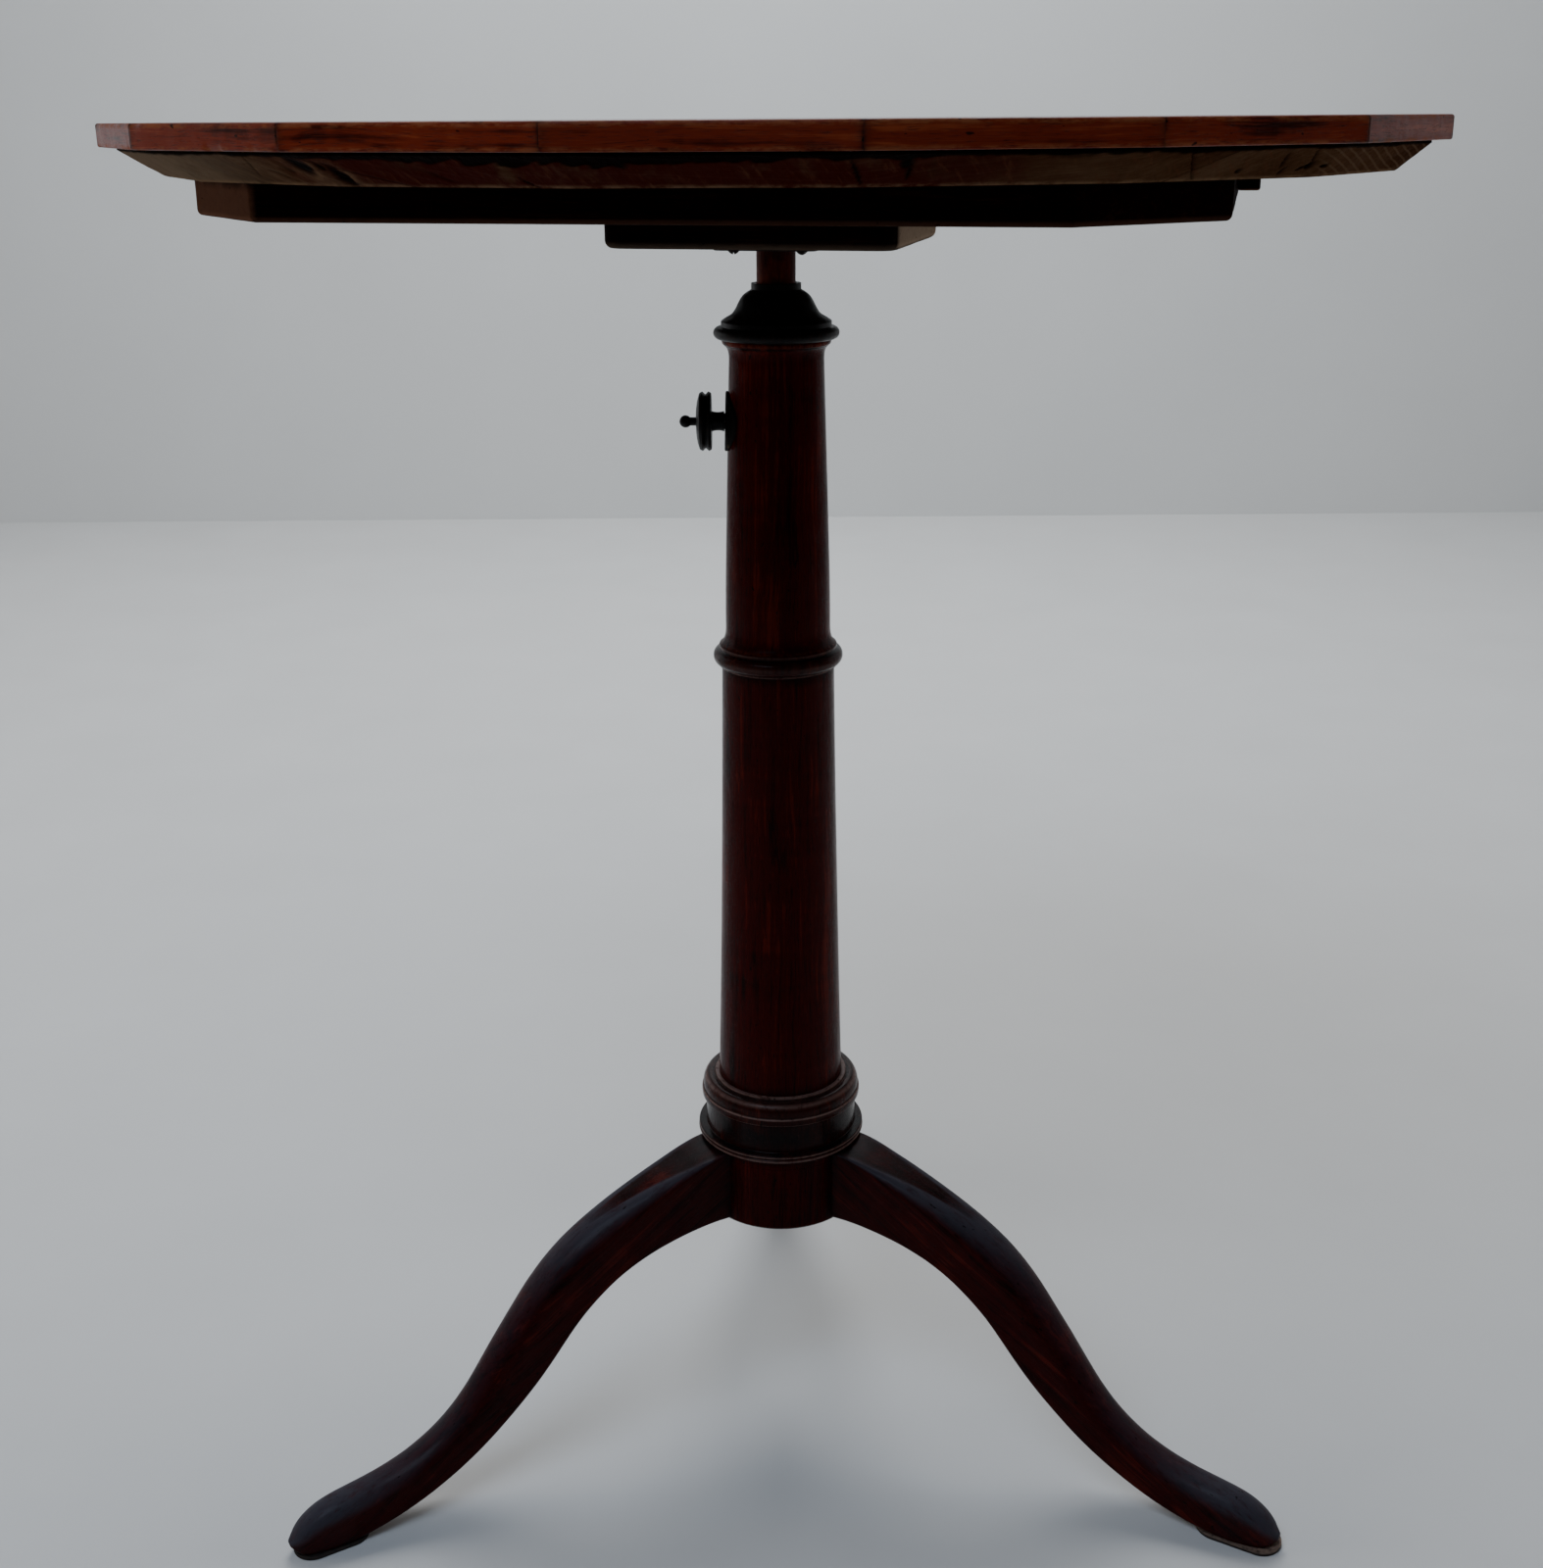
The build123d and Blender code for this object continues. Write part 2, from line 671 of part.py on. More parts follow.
# Turned moulding round the column's foot: torus, waisted drum and double bead
moulding_bore = lower_foot_radius + glue_gap
moulding_bead_height = moulding_ring_height / 2
torus_peak = (
    lower_foot_radius + moulding_torus_reach,
    moulding_top_z - moulding_torus_peak_share * moulding_torus_height,
)
drum_waist = (
    lower_foot_radius + moulding_drum_waist_reach,
    moulding_drum_top_z - moulding_drum_waist_share * moulding_drum_height,
)
torus_foot_radius = lower_foot_radius + moulding_torus_foot_reach
drum_foot_radius = lower_foot_radius + moulding_drum_foot_reach
bead_radius = lower_foot_radius + moulding_ring_reach
groove_radius = bead_radius - moulding_groove_depth
with BuildPart() as base_moulding:
    with BuildSketch(Plane.XZ):
        with BuildLine():
            Line((moulding_bore, hub_top_z), (moulding_bore, moulding_top_z))
            Line((moulding_bore, moulding_top_z), (lower_foot_radius + moulding_lip_wall, moulding_top_z))
            Spline(
                (lower_foot_radius + moulding_lip_wall, moulding_top_z),
                torus_peak,
                (torus_foot_radius, moulding_torus_foot_z),
                tangents=((1, -0.2), (-1, -0.6)),
            )
            Line((torus_foot_radius, moulding_torus_foot_z), (torus_foot_radius, moulding_drum_top_z))
            Spline(
                (torus_foot_radius, moulding_drum_top_z),
                drum_waist,
                (drum_foot_radius, moulding_ring_top_z),
            )
            Line((drum_foot_radius, moulding_ring_top_z), (groove_radius, moulding_ring_top_z))
            for bead_top_z in (moulding_ring_top_z, moulding_ring_top_z - moulding_bead_height):
                ThreePointArc(
                    (groove_radius, bead_top_z),
                    (bead_radius, bead_top_z - moulding_bead_height / 2),
                    (groove_radius, bead_top_z - moulding_bead_height),
                )
            Line((groove_radius, hub_top_z), (moulding_bore, hub_top_z))
        make_face()
    revolve(axis=Axis.Z)
write_piece(base_moulding, "base_moulding")


def dovetail_corners(gap):
    """A leg's key in plan, for a leg along +X; gap widens it for the hub's socket."""
    neck = dovetail_neck / 2 + gap
    back = dovetail_back / 2 + gap
    back_x = hub_radius - dovetail_depth - gap
    outer_x = hub_radius + cut_overrun
    return [
        (outer_x, -neck),
        (hub_radius, -neck),
        (back_x, -back),
        (back_x, back),
        (hub_radius, neck),
        (outer_x, neck),
    ]


dovetail_height = hub_height - dovetail_top_wall
# Hub with a dovetail socket for each leg and a tenon into the column
with BuildPart() as hub:
    with BuildSketch(Plane.XY.offset(hub_foot_z)):
        Circle(hub_radius)
    extrude(amount=hub_height)
    chamfer(hub.faces().sort_by(Axis.Z)[0].edges(), length=hub_arris)
    with BuildSketch(Plane.XY.offset(hub_top_z)):
        Circle(hub_tenon_radius)
    extrude(amount=hub_tenon_length)
    for leg_angle in leg_angles.values():
        angle = radians(leg_angle)
        socket_plane = Plane(origin=(0, 0, hub_foot_z), x_dir=(cos(angle), sin(angle), 0), z_dir=(0, 0, 1))
        with BuildSketch(socket_plane):
            with BuildLine():
                Polyline(*dovetail_corners(glue_gap), close=True)
            make_face()
        extrude(amount=dovetail_height + glue_gap, mode=Mode.SUBTRACT)
write_piece(hub, "hub")

# One leg along +X: sections stand between the sole line and the ridge line
leg_foot_z = leg_rise * leg_station_shares[0][3]
with BuildPart() as leg_blank:
    for station in leg_station_shares:
        ridge = Vector(station[0] * leg_reach, 0, station[1] * leg_rise)
        sole = Vector(station[2] * leg_reach, 0, station[3] * leg_rise)
        width = station[4] * leg_width
        depth = (ridge - sole).length
        ridge_round = min(station[5] * width, ridge_round_limit_share * depth)
        sole_round = min(leg_bottom_round, sole_round_depth_share * depth, sole_round_width_share * width)
        across = Vector(0, 1, 0)
        section_plane = Plane(origin=sole, x_dir=across, z_dir=across.cross(ridge - sole))
        with BuildSketch(section_plane) as section:
            Rectangle(width, depth, align=(Align.CENTER, Align.MIN))
            fillet(section.vertices().group_by(Axis.Y)[-1], radius=ridge_round)
            fillet(section.vertices().group_by(Axis.Y)[0], radius=sole_round)
    loft()
    with BuildSketch(Plane.XY.offset(hub_foot_z - cut_overrun)):
        Circle(hub_radius + glue_gap)
    extrude(amount=hub_height + 2 * cut_overrun, mode=Mode.SUBTRACT)
    with BuildSketch(Plane.XY.offset(leg_foot_z + leg_bottom_round)):
        with BuildLine():
            Polyline(*dovetail_corners(0), close=True)
        make_face()
    extrude(amount=hub_foot_z + dovetail_height - leg_foot_z - leg_bottom_round)
    with BuildSketch(Plane.XY.offset(-cut_overrun)):
        Rectangle(3 * leg_reach, 3 * leg_reach)
    extrude(amount=cut_overrun + pad_thickness, mode=Mode.SUBTRACT)

with BuildPart() as pad_blank:
    with BuildSketch(Plane.XY):
        with Locations((leg_reach - pad_toe_setback, 0)):
            SlotOverall(pad_length, pad_width)
    extrude(amount=pad_thickness)

for side, leg_angle in leg_angles.items():
    with BuildPart() as leg:
        add(leg_blank.part, rotation=(0, 0, leg_angle))
    write_piece(leg, f"leg_{side}")
    with BuildPart() as foot_pad:
        add(pad_blank.part, rotation=(0, 0, leg_angle))
    write_piece(foot_pad, f"foot_pad_{side}")

# Escutcheon: a thin disc bent round the column, held by two pins
shell_top_z = clamp_z + escutcheon_radius + cut_overrun
shell_foot_z = clamp_z - escutcheon_radius - cut_overrun
shell_gap = 2 * glue_gap
with BuildPart() as escutcheon:
    with BuildSketch(Plane.XZ):
        with BuildLine():
            Polyline(
                (column_line_radius(shell_top_z) + shell_gap, shell_top_z),
                (column_line_radius(shell_top_z) + shell_gap + escutcheon_thickness, shell_top_z),
                (column_line_radius(shell_foot_z) + shell_gap + escutcheon_thickness, shell_foot_z),
                (column_line_radius(shell_foot_z) + shell_gap, shell_foot_z),
                close=True,
            )
        make_face()
    revolve(axis=Axis.Z)
    with BuildSketch(Plane.YZ):
        with Locations((0, clamp_z)):
            Circle(escutcheon_radius)
            Circle(screw_radius + bearing_gap, mode=Mode.SUBTRACT)
        with Locations((0, clamp_z - escutcheon_pin_offset), (0, clamp_z + escutcheon_pin_offset)):
            Circle(escutcheon_pin_radius + glue_gap, mode=Mode.SUBTRACT)
    extrude(amount=-2 * neck_radius, mode=Mode.INTERSECT)
write_piece(escutcheon, "escutcheon")

with BuildPart() as escutcheon_pins:
    for pin_height in (clamp_z - escutcheon_pin_offset, clamp_z + escutcheon_pin_offset):
        pin_face = column_line_radius(pin_height) + shell_gap + escutcheon_thickness
        with BuildSketch(Plane.YZ.offset(-pin_face)):
            with Locations((0, pin_height)):
                Circle(escutcheon_pin_radius)
        extrude(amount=escutcheon_pin_length)
write_piece(escutcheon_pins, "escutcheon_pins")

# Threaded bush in the column's wall; the pad moves out by one turn of the screw inside it
pad_inner_x = shaft_radius + bearing_gap
pad_outer_x = pad_inner_x + clamp_pad_thickness
nut_inner_x = pad_outer_x + screw_pitch + nut_end_gap
nut_outer_x = (column_line_radius(clamp_z + nut_radius) ** 2 - nut_radius**2) ** 0.5 - nut_setback
with BuildPart() as lock_nut:
    with BuildSketch(Plane.YZ.offset(-nut_outer_x)):
        with Locations((0, clamp_z)):
            Circle(nut_radius)
            Circle(screw_radius + running_gap, mode=Mode.SUBTRACT)
    extrude(amount=nut_outer_x - nut_inner_x)
write_piece(lock_nut, "lock_nut")

# Pad that the screw presses on the shaft, its socket towards the screw
with BuildPart() as clamp_pad:
    with BuildSketch(Plane.YZ.offset(-pad_outer_x)):
        with Locations((0, clamp_z)):
            Circle(pad_radius)
    extrude(amount=clamp_pad_thickness)
    with BuildSketch(Plane.YZ.offset(-pad_outer_x)):
        with Locations((0, clamp_z)):
            Circle(pad_socket_radius)
    extrude(amount=pad_socket_depth, mode=Mode.SUBTRACT)
write_piece(clamp_pad, "clamp_pad")

# Screw: spigot in the pad, shank through the nut into the knob
stem_x = column_line_radius(clamp_z) + shell_gap + escutcheon_thickness + bearing_gap
screw_end_x = stem_x + knob_stem_length
spigot_radius = pad_socket_radius - running_gap
with BuildPart() as lock_screw:
    with BuildSketch(Plane.YZ.offset(-screw_end_x)):
        with Locations((0, clamp_z)):
            Circle(screw_radius)
    extrude(amount=screw_end_x - pad_outer_x - bearing_gap)
    with BuildSketch(Plane.YZ.offset(-pad_outer_x - bearing_gap)):
        with Locations((0, clamp_z)):
            Circle(spigot_radius)
    extrude(amount=bearing_gap + pad_socket_depth - running_gap)
write_piece(lock_screw, "lock_screw")

# Knob: waisted stem, grooved disc with a crowned face, neck and ball
stem_radius = screw_radius + knob_stem_wall
disc_inner_x = stem_x + knob_stem_length
disc_outer_x = disc_inner_x + knob_disc_thickness
crown_x = disc_outer_x + knob_crown
ball_x = crown_x + knob_neck_length
rim_step = knob_disc_thickness / 4
ball_start = (knob_ball_radius**2 - knob_neck_radius**2) ** 0.5
with BuildPart() as lock_knob:
    with BuildSketch(Plane.XZ):
        with BuildLine():
            Line((-stem_x, clamp_z), (-stem_x, clamp_z + stem_radius))
            ThreePointArc(
                (-stem_x, clamp_z + stem_radius),
                (-(stem_x + disc_inner_x) / 2, clamp_z + screw_radius + knob_stem_waist_wall),
                (-disc_inner_x, clamp_z + stem_radius),
            )
            Polyline(
                (-disc_inner_x, clamp_z + stem_radius),
                (-disc_inner_x, clamp_z + knob_disc_radius - knob_groove_depth / 2),
                (-disc_inner_x - rim_step, clamp_z + knob_disc_radius),
                (-disc_inner_x - 2 * rim_step, clamp_z + knob_disc_radius - knob_groove_depth),
                (-disc_inner_x - 3 * rim_step, clamp_z + knob_disc_radius),
                (-disc_outer_x, clamp_z + knob_disc_radius - knob_groove_depth / 2),
            )
            Spline(
                (-disc_outer_x, clamp_z + knob_disc_radius - knob_groove_depth / 2),
                (-crown_x, clamp_z + knob_neck_radius),
                tangents=((-0.4, -1), (0, -1)),
            )
            Line((-crown_x, clamp_z + knob_neck_radius), (-ball_x, clamp_z + knob_neck_radius))
            ThreePointArc(
                (-ball_x, clamp_z + knob_neck_radius),
                (-ball_x - ball_start, clamp_z + knob_ball_radius),
                (-ball_x - ball_start - knob_ball_radius, clamp_z),
            )
            Line((-ball_x - ball_start - knob_ball_radius, clamp_z), (-stem_x, clamp_z))
        make_face()
    revolve(axis=Axis((0, 0, clamp_z), (1, 0, 0)))
    with BuildSketch(Plane.YZ.offset(-stem_x + cut_overrun)):
        with Locations((0, clamp_z)):
            Circle(screw_radius + glue_gap)
    extrude(amount=-(screw_end_x + glue_gap - stem_x + cut_overrun), mode=Mode.SUBTRACT)
write_piece(lock_knob, "lock_knob")
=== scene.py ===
"""An adjustable pedestal table with an eighteen-sided top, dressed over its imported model."""
import logging
from dataclasses import dataclass, field, replace
from enum import Enum

import bpy
import numpy as np
from mathutils import Euler, Matrix


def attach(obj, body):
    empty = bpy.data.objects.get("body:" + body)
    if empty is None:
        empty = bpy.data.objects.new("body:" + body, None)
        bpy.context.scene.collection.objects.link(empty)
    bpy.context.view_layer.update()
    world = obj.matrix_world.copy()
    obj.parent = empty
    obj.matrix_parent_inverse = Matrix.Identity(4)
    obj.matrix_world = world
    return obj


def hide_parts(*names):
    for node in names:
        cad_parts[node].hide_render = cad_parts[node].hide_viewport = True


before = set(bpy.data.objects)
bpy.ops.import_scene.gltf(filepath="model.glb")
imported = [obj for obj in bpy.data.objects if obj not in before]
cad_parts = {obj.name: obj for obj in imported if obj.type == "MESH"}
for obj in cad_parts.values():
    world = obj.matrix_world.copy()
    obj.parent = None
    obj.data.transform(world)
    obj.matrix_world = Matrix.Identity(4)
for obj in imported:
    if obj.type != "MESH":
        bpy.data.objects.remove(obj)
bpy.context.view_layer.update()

LOG = logging.getLogger("table")
MM = 0.001
Array = np.ndarray
Colour = Place = Band = tuple[float, float, float]
Wave = tuple[float, float, int]
Socket = bpy.types.NodeSocket
Material = bpy.types.Material

# The top's sides, and how far its first corner and the frame under it are turned, in degrees
FACETS = 18
FIRST_CORNER = -84.9
UNDER_FRAME_TURN = -13.8


class Body(str, Enum):
    """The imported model's moving bodies."""

    COLUMN = "column"
    SHAFT = "shaft"
    TOP = "top"
    CLAMP = "clamp"
    LOCK = "lock"


class Facing(Enum):
    """Which way the axis of a turned piece points, from its foot to its head."""

    UP = "up"
    LEFT = "left"


# ---- curves and outlines


def smooth_through(knots: Array, rows: Array, places: Array) -> Array:
    """Sample a natural cubic spline.

    Between two knots the curve is a cubic whose second derivative runs straight from
    one knot's bend to the next, and the bend is nothing at both ends.

    Args:
        knots: Rising places of the given rows, shape (k,).
        rows: Values at the knots, shape (k, m).
        places: Where to sample, shape (n,).

    Returns:
        The sampled values, shape (n, m).
    """
    step = np.diff(knots)[:, None]
    slope = np.diff(rows, axis=0) / step
    inner = np.arange(1, len(knots) - 1)
    system = np.eye(len(knots))
    system[inner, inner - 1] = step[:-1, 0]
    system[inner, inner] = 2 * (step[:-1, 0] + step[1:, 0])
    system[inner, inner + 1] = step[1:, 0]
    right = np.zeros_like(rows)
    right[1:-1] = 6 * np.diff(slope, axis=0)
    bend = np.linalg.solve(system, right)
    span = np.clip(np.searchsorted(knots, places, side="right") - 1, 0, len(knots) - 2)
    reach = (places - knots[span])[:, None]
    width = step[span]
    linear = slope[span] - width * (2 * bend[span] + bend[span + 1]) / 6
    cubic = (bend[span + 1] - bend[span]) / (6 * width)
    return rows[span] + reach * linear + reach**2 * bend[span] / 2 + reach**3 * cubic


def curve_through(points: list[tuple[float, float]], count: int) -> Array:
    """Sample a spline through points, spaced by the running length of its chords.

    Args:
        points: The points that the curve passes.
        count: How many samples to take.

    Returns:
        The samples, shape (count, 2).
    """
    rows = np.array(points, float)
    knots = np.concatenate([[0.0], np.cumsum(np.linalg.norm(np.diff(rows, axis=0), axis=1))])
    return smooth_through(knots, rows, np.linspace(0, knots[-1], count))


def eased(start: Array, end: Array, leave: Array, arrive: Array, count: int) -> Array:
    """Sample a Hermite cubic between two points.

    The point is the blend of both ends and of both end directions, each direction as
    long as the chord, with the usual four cubic weights.

    Args:
        start: First point.
        end: Last point.
        leave: Direction at the first point.
        arrive: Direction at the last point.
        count: How many samples to take.

    Returns:
        The samples, shape (count, 2).
    """
    start, end, leave, arrive = (np.array(v, float) for v in (start, end, leave, arrive))
    chord = np.linalg.norm(end - start)
    leave, arrive = (chord * v / np.linalg.norm(v) for v in (leave, arrive))
    t = np.linspace(0, 1, count)[:, None]
    return (
        (2 * t**3 - 3 * t**2 + 1) * start
        + (t**3 - 2 * t**2 + t) * leave
        + (3 * t**2 - 2 * t**3) * end
        + (t**3 - t**2) * arrive
    )


def arc_through(start: Array, middle: Array, end: Array, count: int) -> Array:
    """Sample the circle's arc through three points.

    The centre is where the perpendicular bisectors of the two chords meet; the samples
    turn round it by equal angles.

    Args:
        start: First point.
        middle: A point on the way.
        end: Last point.
        count: How many samples to take.

    Returns:
        The samples, shape (count, 2).
    """
    corners = np.array([start, middle, end], float)
    chords = corners[1:] - corners[:2]
    middles = (corners[1:] + corners[:2]) / 2
    centre = np.linalg.solve(chords, (chords * middles).sum(1))
    spokes = corners - centre
    angles = np.unwrap(np.arctan2(spokes[:, 1], spokes[:, 0]))
    sweep = np.linspace(angles[0], angles[2], count)
    radius = np.linalg.norm(spokes[0])
    return centre + radius * np.stack([np.cos(sweep), np.sin(sweep)], -1)


def end_to_end(*parts: Array) -> Array:
    """Stretches of a line, each an array or a list of points, put one after another."""
    return np.concatenate(parts)


def lifted(outline: Array, height: float) -> Array:
    """A level outline's points, each with the same height."""
    return np.column_stack([outline, np.full(len(outline), height)])


def softened(outline: Array, reach: float, closed: bool = True, limit: float = 24.0) -> Array:
    """Round the sharp corners of a line.

    Each corner that turns by more than the limit becomes five points of the parabola
    between two points a short reach before and after it, with the corner as its pull.

    Args:
        outline: The line's points, shape (n, 2).
        reach: How far from the corner the rounding starts, in the line's unit.
        closed: Whether the last point joins the first.
        limit: The smallest turn, in degrees, that counts as a corner.

    Returns:
        The line with its corners rounded.
    """
    before = outline - np.roll(outline, 1, axis=0)
    after = np.roll(outline, -1, axis=0) - outline
    before_length = np.linalg.norm(before, axis=1, keepdims=True)
    after_length = np.linalg.norm(after, axis=1, keepdims=True)
    before = before / np.maximum(before_length, 1e-9)
    after = after / np.maximum(after_length, 1e-9)
    sharp = (before * after).sum(1) < np.cos(np.radians(limit))
    if not closed:
        sharp[[0, -1]] = False
    first = outline - before * np.minimum(reach, 0.42 * before_length)
    last = outline + after * np.minimum(reach, 0.42 * after_length)
    t = np.linspace(0, 1, 5)[None, :, None]
    bends = (1 - t) ** 2 * first[:, None] + 2 * t * (1 - t) * outline[:, None] + t**2 * last[:, None]
    bends[~sharp, 0] = outline[~sharp]
    keep = np.repeat(sharp[:, None], 5, axis=1)
    keep[:, 0] = True
    return bends[keep]


def resampled(outline: Array, spacing: float) -> Array:
    """Divide a closed outline's long sides so that no part is longer than the spacing.

    Args:
        outline: The closed outline, shape (n, 2).
        spacing: The longest side allowed.

    Returns:
        The divided outline, its corners kept.
    """
    ends = np.roll(outline, -1, axis=0)
    counts = np.maximum(1, np.ceil(np.linalg.norm(ends - outline, axis=1) / spacing)).astype(int)
    index = np.repeat(np.arange(len(outline)), counts)
    order = np.arange(len(index)) - np.repeat(np.cumsum(counts) - counts, counts)
    share = (order / counts[index])[:, None]
    return outline[index] * (1 - share) + ends[index] * share


def inset(outline: Array, distance: float) -> Array:
    """Move a closed outline inwards by a distance.

    Each corner moves along the sum of its two sides' inward normals, divided by one
    plus their dot product, so both sides move by the same distance.

    Args:
        outline: The outline, counter-clockwise, shape (n, 2).
        distance: How far to move.

    Returns:
        The moved outline.
    """
    sides = np.roll(outline, -1, axis=0) - outline
    sides = sides / np.linalg.norm(sides, axis=1, keepdims=True)
    after = np.stack([-sides[:, 1], sides[:, 0]], -1)
    before = np.roll(after, 1, axis=0)
    push = (before + after) / (1 + (before * after).sum(1, keepdims=True))
    return outline + push * distance


def facet_corners(radius: float) -> Array:
    """Corners of the top's outline: equal turns round a circle of the given radius."""
    turn = np.radians(FIRST_CORNER + 360 / FACETS * np.arange(FACETS))
    return radius * np.stack([np.cos(turn), np.sin(turn)], -1)


def turned_level(points: Array, degrees: float) -> Array:
    """Turn points about the upright axis: x and y mix by the angle's cosine and sine."""
    turn = np.radians(degrees)
    spin = np.array([[np.cos(turn), np.sin(turn)], [-np.sin(turn), np.cos(turn)]])
    out = np.array(points, float)
    out[..., :2] = out[..., :2] @ spin
    return out


def rounded_square(length: float, width: float, corner: float, steps: int = 7) -> Array:
    """A level rectangle with quarter-circle corners, counter-clockwise from the right."""
    turn = np.radians(np.linspace(0, 90, steps))[None] + np.radians([0, 90, 180, 270])[:, None]
    centres = np.array([[1, 1], [-1, 1], [-1, -1], [1, -1]]) * [length / 2 - corner, width / 2 - corner]
    arcs = centres[:, None] + corner * np.stack([np.cos(turn), np.sin(turn)], -1)
    return arcs.reshape(-1, 2)


def wander(points: Array, wavelength: float, seed: int) -> Array:
    """Smooth unevenness, about -1 to 1.

    The sum of ten sine waves, each with its own direction, phase and wavelength near
    the given one, divided by 1.4 times the root of half their number.

    Args:
        points: Where to read it, shape (..., 3) or (..., 2).
        wavelength: Typical distance from crest to crest.
        seed: Picks the waves.

    Returns:
        One value for each point.
    """
    count = 10
    dice = np.random.default_rng(seed)
    ways = dice.normal(size=(count, points.shape[-1]))
    ways /= np.linalg.norm(ways, axis=1, keepdims=True)
    lengths = wavelength * dice.uniform(0.6, 1.8, count)
    phases = dice.uniform(0, 2 * np.pi, count)
    waves = np.sin(points @ (2 * np.pi * ways / lengths[:, None]).T + phases)
    return waves.sum(-1) / np.sqrt(count / 2) / 1.4


def wanders(points: Array, *waves: Wave) -> Array:
    """Several sizes of wander added up, each given as its height, wavelength and seed."""
    return sum(height * wander(points, wavelength, seed) for height, wavelength, seed in waves)


# ---- skins and pieces


@dataclass
class Skin:
    """A closed surface in millimetres, with values that its finish reads.

    Attributes:
        points: Corners, shape (n, 3).
        faces: Arrays of corner numbers, one array for each count of corners.
        grain: Place in the wood for each corner: along, across and through the grain.
        wear_and_highlight: How rubbed each corner is, with painted highlights and sheen, 0 to 1.
        grime_and_shade: How much dirt and painted shade each corner has, 0 to 1.
    """

    points: Array
    faces: list[Array]
    grain: Array
    wear_and_highlight: Array
    grime_and_shade: Array

    @staticmethod
    def of(points: Array, faces: list[Array]) -> "Skin":
        """A skin whose grain is its own place and that has no wear, highlight, grime or shade yet."""
        blank = np.zeros(len(points))
        return Skin(points, faces, points.copy(), blank, blank.copy())

    @staticmethod
    def joined(skins: list["Skin"]) -> "Skin":
        """Several skins as one, each with its corner numbers moved up."""
        starts = np.cumsum([0] + [len(s.points) for s in skins[:-1]])
        return Skin(
            np.concatenate([s.points for s in skins]),
            [block + start for s, start in zip(skins, starts) for block in s.faces],
            np.concatenate([s.grain for s in skins]),
            np.concatenate([s.wear_and_highlight for s in skins]),
            np.concatenate([s.grime_and_shade for s in skins]),
        )


def grid_faces(rows: int, columns: int, loop_rows: bool = False, loop_columns: bool = True) -> Array:
    """Corner numbers of a grid's four-sided faces.

    Args:
        rows: Rows of points.
        columns: Points in a row.
        loop_rows: Whether the last row joins the first.
        loop_columns: Whether a row's last point joins its first.

    Returns:
        The faces, shape (m, 4).
    """
    row, column = np.meshgrid(
        np.arange(rows - (not loop_rows)), np.arange(columns - (not loop_columns)), indexing="ij"
    )
    next_row, next_column = (row + 1) % rows, (column + 1) % columns
    corners = [(row, column), (row, next_column), (next_row, next_column), (next_row, column)]
    return np.stack([r * columns + c for r, c in corners], -1).reshape(-1, 4)


def ring_stack(rings: Array) -> Skin:
    """A skin through a stack of rings, closed by one flat face at each end.

    Args:
        rings: Shape (rows, n, 3), counter-clockwise seen from the last ring's side.

    Returns:
        The closed skin.
    """
    rows, count = rings.shape[:2]
    ends = np.arange(count)
    last = (rows - 1) * count
    faces = [grid_faces(rows, count), ends[None, ::-1], last + ends[None]]
    return Skin.of(rings.reshape(-1, 3), faces)


def turned(profile: Array, facing: Facing, height: float = 0.0, segments: int = 160) -> Skin:
    """A lathe surface: each profile point goes round the axis at its own radius.

    Args:
        profile: Radius and place along the axis, counter-clockwise with the radius to
            the right. It loops, or begins and ends on the axis.
        facing: Which way the axis points.
        height: Height of the axis where it lies level.
        segments: Points in a turn.

    Returns:
        The closed skin, with its poles closed.
    """
    on_axis = profile[0, 0] < 1e-6
    body = profile[1:-1] if on_axis else profile
    turn = np.linspace(0, 2 * np.pi, segments, endpoint=False)
    heights = np.repeat(body[:, 1:], segments, axis=1)
    points = np.stack([body[:, :1] * np.cos(turn), body[:, :1] * np.sin(turn), heights], -1).reshape(-1, 3)
    faces = [grid_faces(len(body), segments, loop_rows=not on_axis)]
    if on_axis:
        foot, head = len(points), len(points) + 1
        points = np.vstack([points, [0, 0, profile[0, 1]], [0, 0, profile[-1, 1]]])
        here = np.arange(segments)
        there = (here + 1) % segments
        last = (len(body) - 1) * segments
        faces.append(np.stack([np.full(segments, foot), there, here], -1))
        faces.append(np.stack([np.full(segments, head), last + here, last + there], -1))
    if facing is Facing.LEFT:
        points = np.stack([-points[:, 2], points[:, 1], points[:, 0] + height], -1)
    return Skin.of(points, faces)


